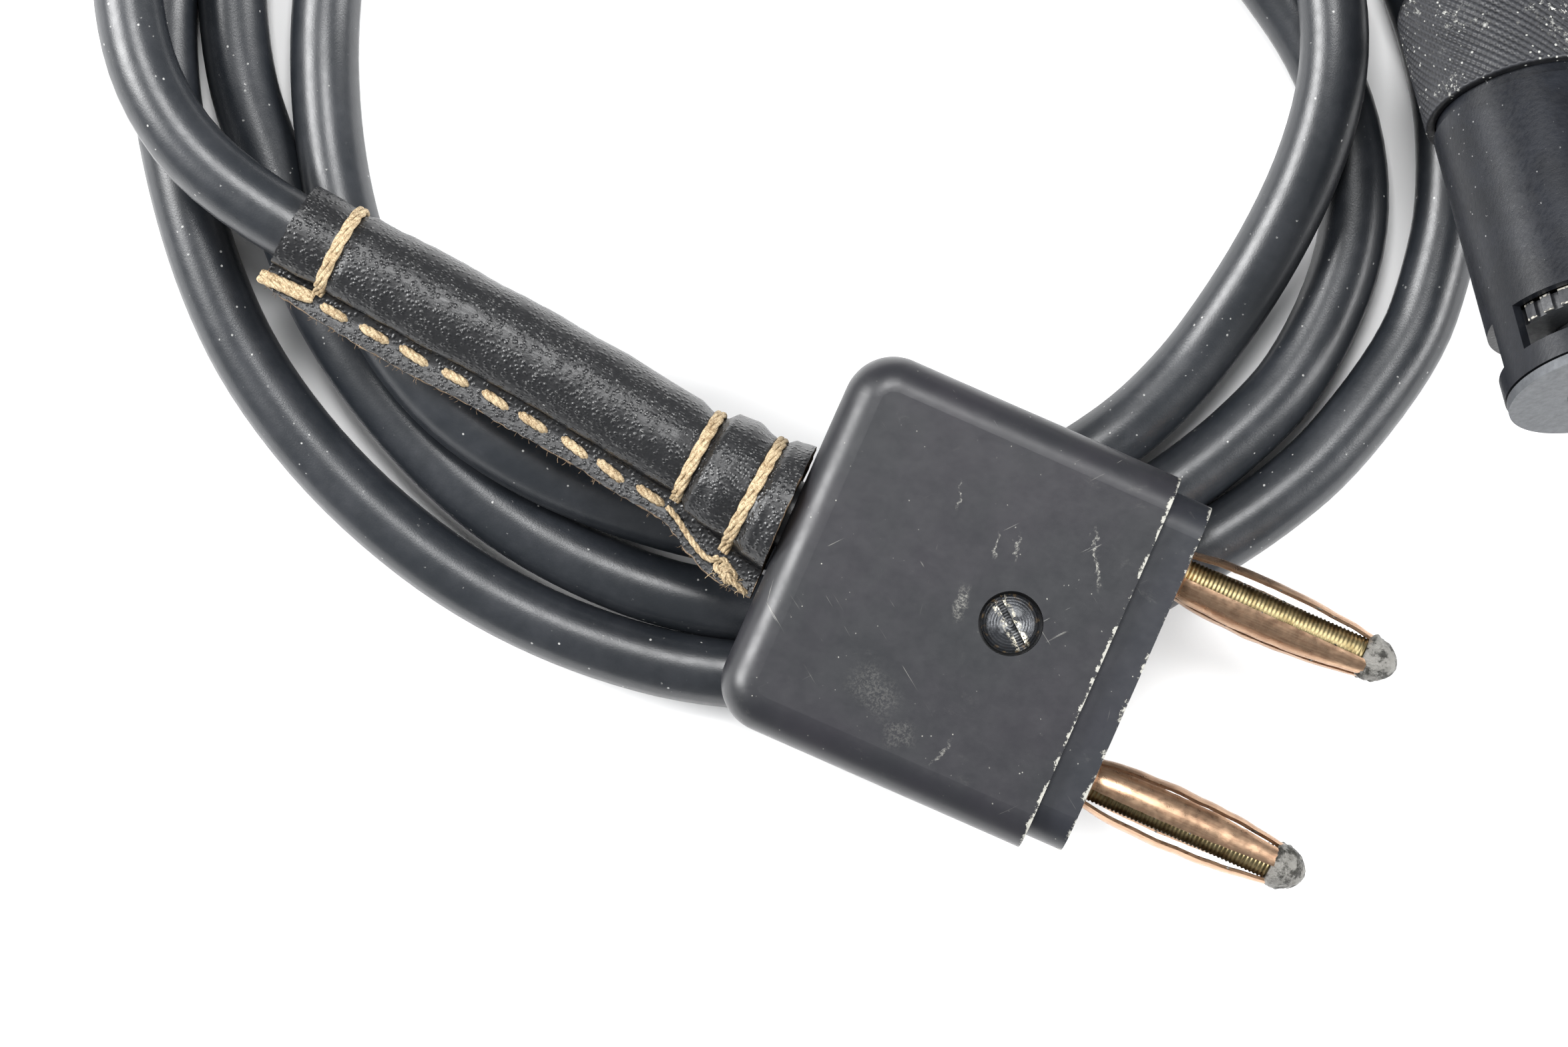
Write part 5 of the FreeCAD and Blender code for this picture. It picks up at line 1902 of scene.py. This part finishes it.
    def mouth_stitch(self, thread: Material) -> None:
        """Makes the doubled stitch that goes over the sleeve's mouth.

        Args:
            thread: linen thread.
        """
        paths = [self.thread_over((
            (42.9, 4.3 + beside * 0.4, 0.2), (43.8, 4.45 + beside, 0.3), (45.4, 4.6 + beside, 0.34),
            (46.8, 4.75 + beside, 0.3), (47.5, 4.85 + beside, 0.0), (47.7, 4.85 + beside, -0.7)))
            for beside in (-0.26, 0.26)]
        settle(twisted_thread("mouth_stitch", paths, self.mouth_lay, thread), "root", "linen_thread")

    def fibres(self, thread: Material, raw: Material) -> None:
        """Makes the frayed fibres at the knot and along the raw edge.

        Args:
            thread: linen thread.
            raw: cut leather.
        """
        rng = random.Random(11)
        frays = []
        for _ in range(self.frays):
            start = self.on_top(rng.uniform(0.2, 2.6), rng.uniform(6.3, 7.5), 0.3)
            away = Vector((rng.uniform(-1, 1), rng.uniform(-1.4, 0.2), rng.uniform(-0.2, 0.5)))
            bend = Vector((rng.uniform(-1, 1), rng.uniform(-1, 1), 0)) * 0.35
            reach = rng.uniform(0.4, 1.1) * MM
            frays.append(smooth_path([start, start + (away * 0.5 + bend) * reach, start + away * reach], 5))
        settle(twisted_thread("knot_fray", frays, self.fray_lay, thread), "root", "linen_thread")
        fuzz = []
        for _ in range(self.fuzz):
            depth = rng.uniform(0.0, 47.0)
            start = self.point(depth, self.shape_at(depth).reach + 0.02, rng.uniform(-0.8, 0.9))
            out = self.layout.sleeve.side * -rng.uniform(0.15, 0.5)
            drift = self.layout.sleeve.along * rng.uniform(-0.3, 0.3) + UP * rng.uniform(-0.1, 0.15)
            fuzz.append([start, start + (out * 0.6 + drift * 0.3) * MM, start + (out + drift) * MM])
        settle(twisted_thread("edge_fuzz", fuzz, self.fuzz_lay, raw), "root", "leather")

    def build(self, finishes: dict[str, Material]) -> None:
        """Makes the sleeve's pieces.

        Args:
            finishes: the materials by name.
        """
        thread, raw = finishes["linen_thread"], finishes["raw_leather"]
        self.leather(finishes["leather"], raw)
        self.bindings(thread)
        self.stitches(thread)
        self.knot(thread)
        self.mouth_stitch(thread)
        self.fibres(thread, raw)


# ------------------------------------------------------------------ head
@dataclass
class KnurledGrip:
    """The knurled grip that screws onto the head's neck."""

    layout: Layout
    radius: float = 8.75
    front: float = 26.0
    back: float = 37.7
    round_off: float = 2.0
    bore: float = 7.95
    hole: float = 5.2
    wall: float = 36.5
    ridges: int = 74
    knurl_depth: float = 0.26
    shares: Span = (0.68, 0.32)
    wear: float = 0.25
    front_fade: float = 0.35
    back_fade: float = 0.6
    around: int = 592
    rows: int = 84
    round_steps: int = 16

    def knurl(self, depth: float, angle: float, radius: float) -> float:
        """Cuts two crossing sets of fine helical grooves.

        Args:
            depth: distance from the head's end face, in millimetres.
            angle: angle about the head's axis.
            radius: the plain radius.

        Returns:
            The cut radius.
        """
        if radius < self.radius - 1.7:
            return radius
        run = depth * self.ridges / (math.tau * self.radius)
        turn = angle * self.ridges / math.tau
        first = abs(2 * ((turn + run) % 1.0) - 1)
        second = abs(2 * ((turn - run) % 1.0) - 1)
        cut = (1 - first) * self.shares[0] + (1 - second) * self.shares[1]
        spot = Vector((depth * 0.5, math.sin(angle) * 3, math.cos(angle) * 3))
        worn = 1 - self.wear + self.wear * noise.noise(spot)
        fade = min(1.0, (depth - self.front) / self.front_fade, (self.back - depth) / self.back_fade)
        return radius - self.knurl_depth * cut * worn * max(0.0, fade)

    def profile(self) -> list[Span]:
        """The grip's closed outline, from its bore round its front, outside and back.

        Returns:
            Pairs of depth and radius in millimetres.
        """
        outline = [(self.front + 1.0, self.bore), (self.front, self.bore), (self.front, self.radius - 0.28),
                   (self.front + 0.12, self.radius - 0.05)]
        start, end = self.front + 0.2, self.back - self.round_off
        outline += [(start + (end - start) * row / self.rows, self.radius) for row in range(self.rows + 1)]
        for step in range(1, self.round_steps + 1):
            angle = math.pi / 2 * step / self.round_steps
            outline.append((end + self.round_off * math.sin(angle),
                            self.radius - self.round_off * (1 - math.cos(angle))))
        return outline + [(self.back, self.hole + 0.15), (self.back - 0.15, self.hole),
                          (self.wall, self.hole), (self.wall, self.bore)]

    def build(self, material: Material) -> None:
        """Makes the grip.

        Args:
            material: its finish.
        """
        piece = lathe("knurled_grip", self.layout.head, self.profile(), material, around=self.around,
                      shape=self.knurl, closed=True, sharp=58)
        settle(piece, "root", "grip_black", "grip_barrel")


@dataclass
class ReturnSpring:
    """The wire spring that pushes the armature back."""

    layout: Layout
    seat: float = 11.5
    armature: float = 21.6
    travel: float = 6.0
    radius: float = 2.0
    wire: float = 0.35
    pitch: float = 2.0
    steps: int = 28

    def build(self, material: Material) -> None:
        """Makes the coil between its seat and the armature.

        Args:
            material: steel.
        """
        head = self.layout.head
        first, last = self.seat + self.wire, self.armature - self.wire
        count = int((last - first) / self.pitch * self.steps)
        coil = [head.polar(first + (last - first) * step / count, math.tau * step / self.steps, self.radius)
                for step in range(count + 1)]
        piece = twisted_thread("return_coil", [coil], Lay(self.wire, 1.0, plies=1, around=12), material)
        settle(piece, "root", "steel", "return_spring")
        tuple(head.along)
        tuple(head.point(self.seat))
        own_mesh(piece)


@dataclass
class ReleaseHead:
    """The plunger head: its turned pieces, the grip and the return spring."""

    layout: Layout
    finishes: dict[str, Material]
    dressed: ClassVar[dict[str, str]] = {
        "end_plate": "plate_grey", "head_shell": "head_black", "coupling_wheel": "wheel_black",
        "guide_bush": "brass", "plunger_rod": "steel", "armature": "steel", "pole_piece": "steel",
        "coil_bobbin": "bobbin_fibre", "magnet_winding": "copper_winding", "magnet_case": "steel",
        "magnet_back_plate": "steel", "terminal_board": "bobbin_fibre", "head_wires": "wire_insulation",
        "cord_boot": "cord_rubber", "booted_cord": "cord_rubber",
    }

    def build(self) -> None:
        """Makes the grip and the spring, and dresses the turned pieces."""
        KnurledGrip(self.layout).build(self.finishes["grip_black"])
        ReturnSpring(self.layout).build(self.finishes["steel"])
        dress_all(self.dressed, self.finishes)


@dataclass
class ReleasePlug:
    """The two-pin plug: its moulded pieces, the screw and the pins."""

    layout: Layout
    finishes: dict[str, Material]
    dressed: ClassVar[dict[str, str]] = {
        "plug_shell": "bakelite_shell", "plug_insert": "bakelite_insert", "screw_bush": "brass",
        "pin_washer_left": "spring_bronze", "pin_washer_right": "spring_bronze",
        "pin_nut_left": "brass", "pin_nut_right": "brass", "plug_wires": "wire_insulation",
        "covered_cord": "cord_rubber",
    }
    left_leaves: tuple[float, ...] = (-90.0, 35.0, 103.0, 186.0)
    right_leaves: tuple[float, ...] = (-92.0, -20.0, 90.0, 172.0)

    def build(self) -> None:
        """Dresses the moulded pieces and makes the screw and the pins."""
        dress_all(self.dressed, self.finishes)
        ShellScrew(self.layout).build(self.finishes["blackened_screw"])
        ContactPin(self.layout, "left", 1, self.left_leaves, seed=21).build(self.finishes)
        ContactPin(self.layout, "right", -1, self.right_leaves, seed=34).build(self.finishes)


def plug_scuffs(plug: Place) -> tuple[Scuff, ...]:
    """The scuffs on the plug's broad face.

    Args:
        plug: the plug's place.

    Returns:
        The scuffs, each from a start and an end in millimetres, a width and a strength.
    """
    face = 6.5
    scuffs = []
    for start, end, width, strength in (
            ((15.6, -1.7), (16.2, 2.0), 0.62, 0.40), ((23.2, -10.5), (26.0, -5.0), 0.15, 0.75),
            ((18.1, -7.4), (18.5, -4.6), 0.14, 0.6), ((16.3, -6.7), (17.1, -4.2), 0.13, 0.6),
            ((19.6, 10.4), (19.0, 13.8), 0.16, 0.5), ((11.6, -9.4), (12.6, -6.6), 0.11, 0.5),
            ((14.0, 12.8), (17.0, 11.4), 1.5, 0.13), ((9.4, 8.4), (15.0, 11.0), 2.0, 0.11)):
        first, last = plug.point(*start, face), plug.point(*end, face)
        place = square_place(first, last - first, plug.up)
        scuffs.append(Scuff(place, (last - first).length / MM, width, strength))
    return tuple(scuffs)


def all_finishes(layout: Layout) -> dict[str, Material]:
    """Makes every finish, by the name of its slot.

    Args:
        layout: where the pieces lie.

    Returns:
        The materials.
    """
    plug = layout.plug
    shell_edge, insert_edge = plug.point(28.5).x, plug.point(31.9).x
    finishes = [
        Bakelite("bakelite_shell", shell_edge, scuffs=plug_scuffs(plug)),
        Bakelite("bakelite_insert", insert_edge, (0.0095, 0.011, 0.0145), edge_width=1.1, chips=0.855),
        Rubber(), Leather(), Enamel(), GripFinish(layout.head), WheelFinish(layout.head),
        ScrewFinish(ShellScrew(layout).place()),
        Fibre("raw_leather", (0.10, 0.065, 0.04), (0.36, 0.26, 0.17), 5.0, 0.08),
        Fibre("linen_thread", (0.20, 0.13, 0.065), (0.56, 0.45, 0.29), 5.0, 0.08, 0.6),
        Fibre("bobbin_fibre", (0.12, 0.06, 0.03), (0.33, 0.18, 0.09), 4.0, 0.03, 0.6),
        Fibre("wire_insulation", (0.22, 0.03, 0.02), (0.5, 0.09, 0.05), 5.0, 0.03, 0.55),
        Metal("brass", (0.225, 0.185, 0.098), (0.15, 0.115, 0.055), (0.34, 0.46), 0.006),
        Metal("spring_bronze", (0.50, 0.335, 0.22), (0.34, 0.205, 0.13), (0.26, 0.40), 0.008,
              stretch=(0.07, 2.2, 2.2), patchy=0.35),
        Metal("solder", (0.21, 0.205, 0.19), (0.045, 0.044, 0.04), (0.34, 0.62), 0.16),
        Metal("plate_grey", (0.085, 0.09, 0.098), (0.06, 0.064, 0.07), (0.5, 0.62), 0.01,
              metal=0.3, patchy=0.4),
        Metal("steel", (0.6, 0.6, 0.6), (0.25, 0.24, 0.22), (0.25, 0.45), 0.02),
        Metal("copper_winding", (0.75, 0.36, 0.18), (0.35, 0.13, 0.06), (0.3, 0.5), 0.05,
              stretch=(0.2, 0.2, 6.0)),
    ]
    return {finish.name: finish.build() for finish in finishes}


def main() -> None:
    """Builds the shutter release."""
    logging.basicConfig(level=logging.INFO, format="%(name)s: %(message)s")
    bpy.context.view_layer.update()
    layout = Layout()
    Studio(layout).build()
    finishes = all_finishes(layout)
    ReleaseCord(layout).build(finishes["cord_rubber"])
    ReleasePlug(layout, finishes).build()
    LeatherSleeve(layout).build(finishes)
    ReleaseHead(layout, finishes).build()


if __name__ == "__main__":
    main()
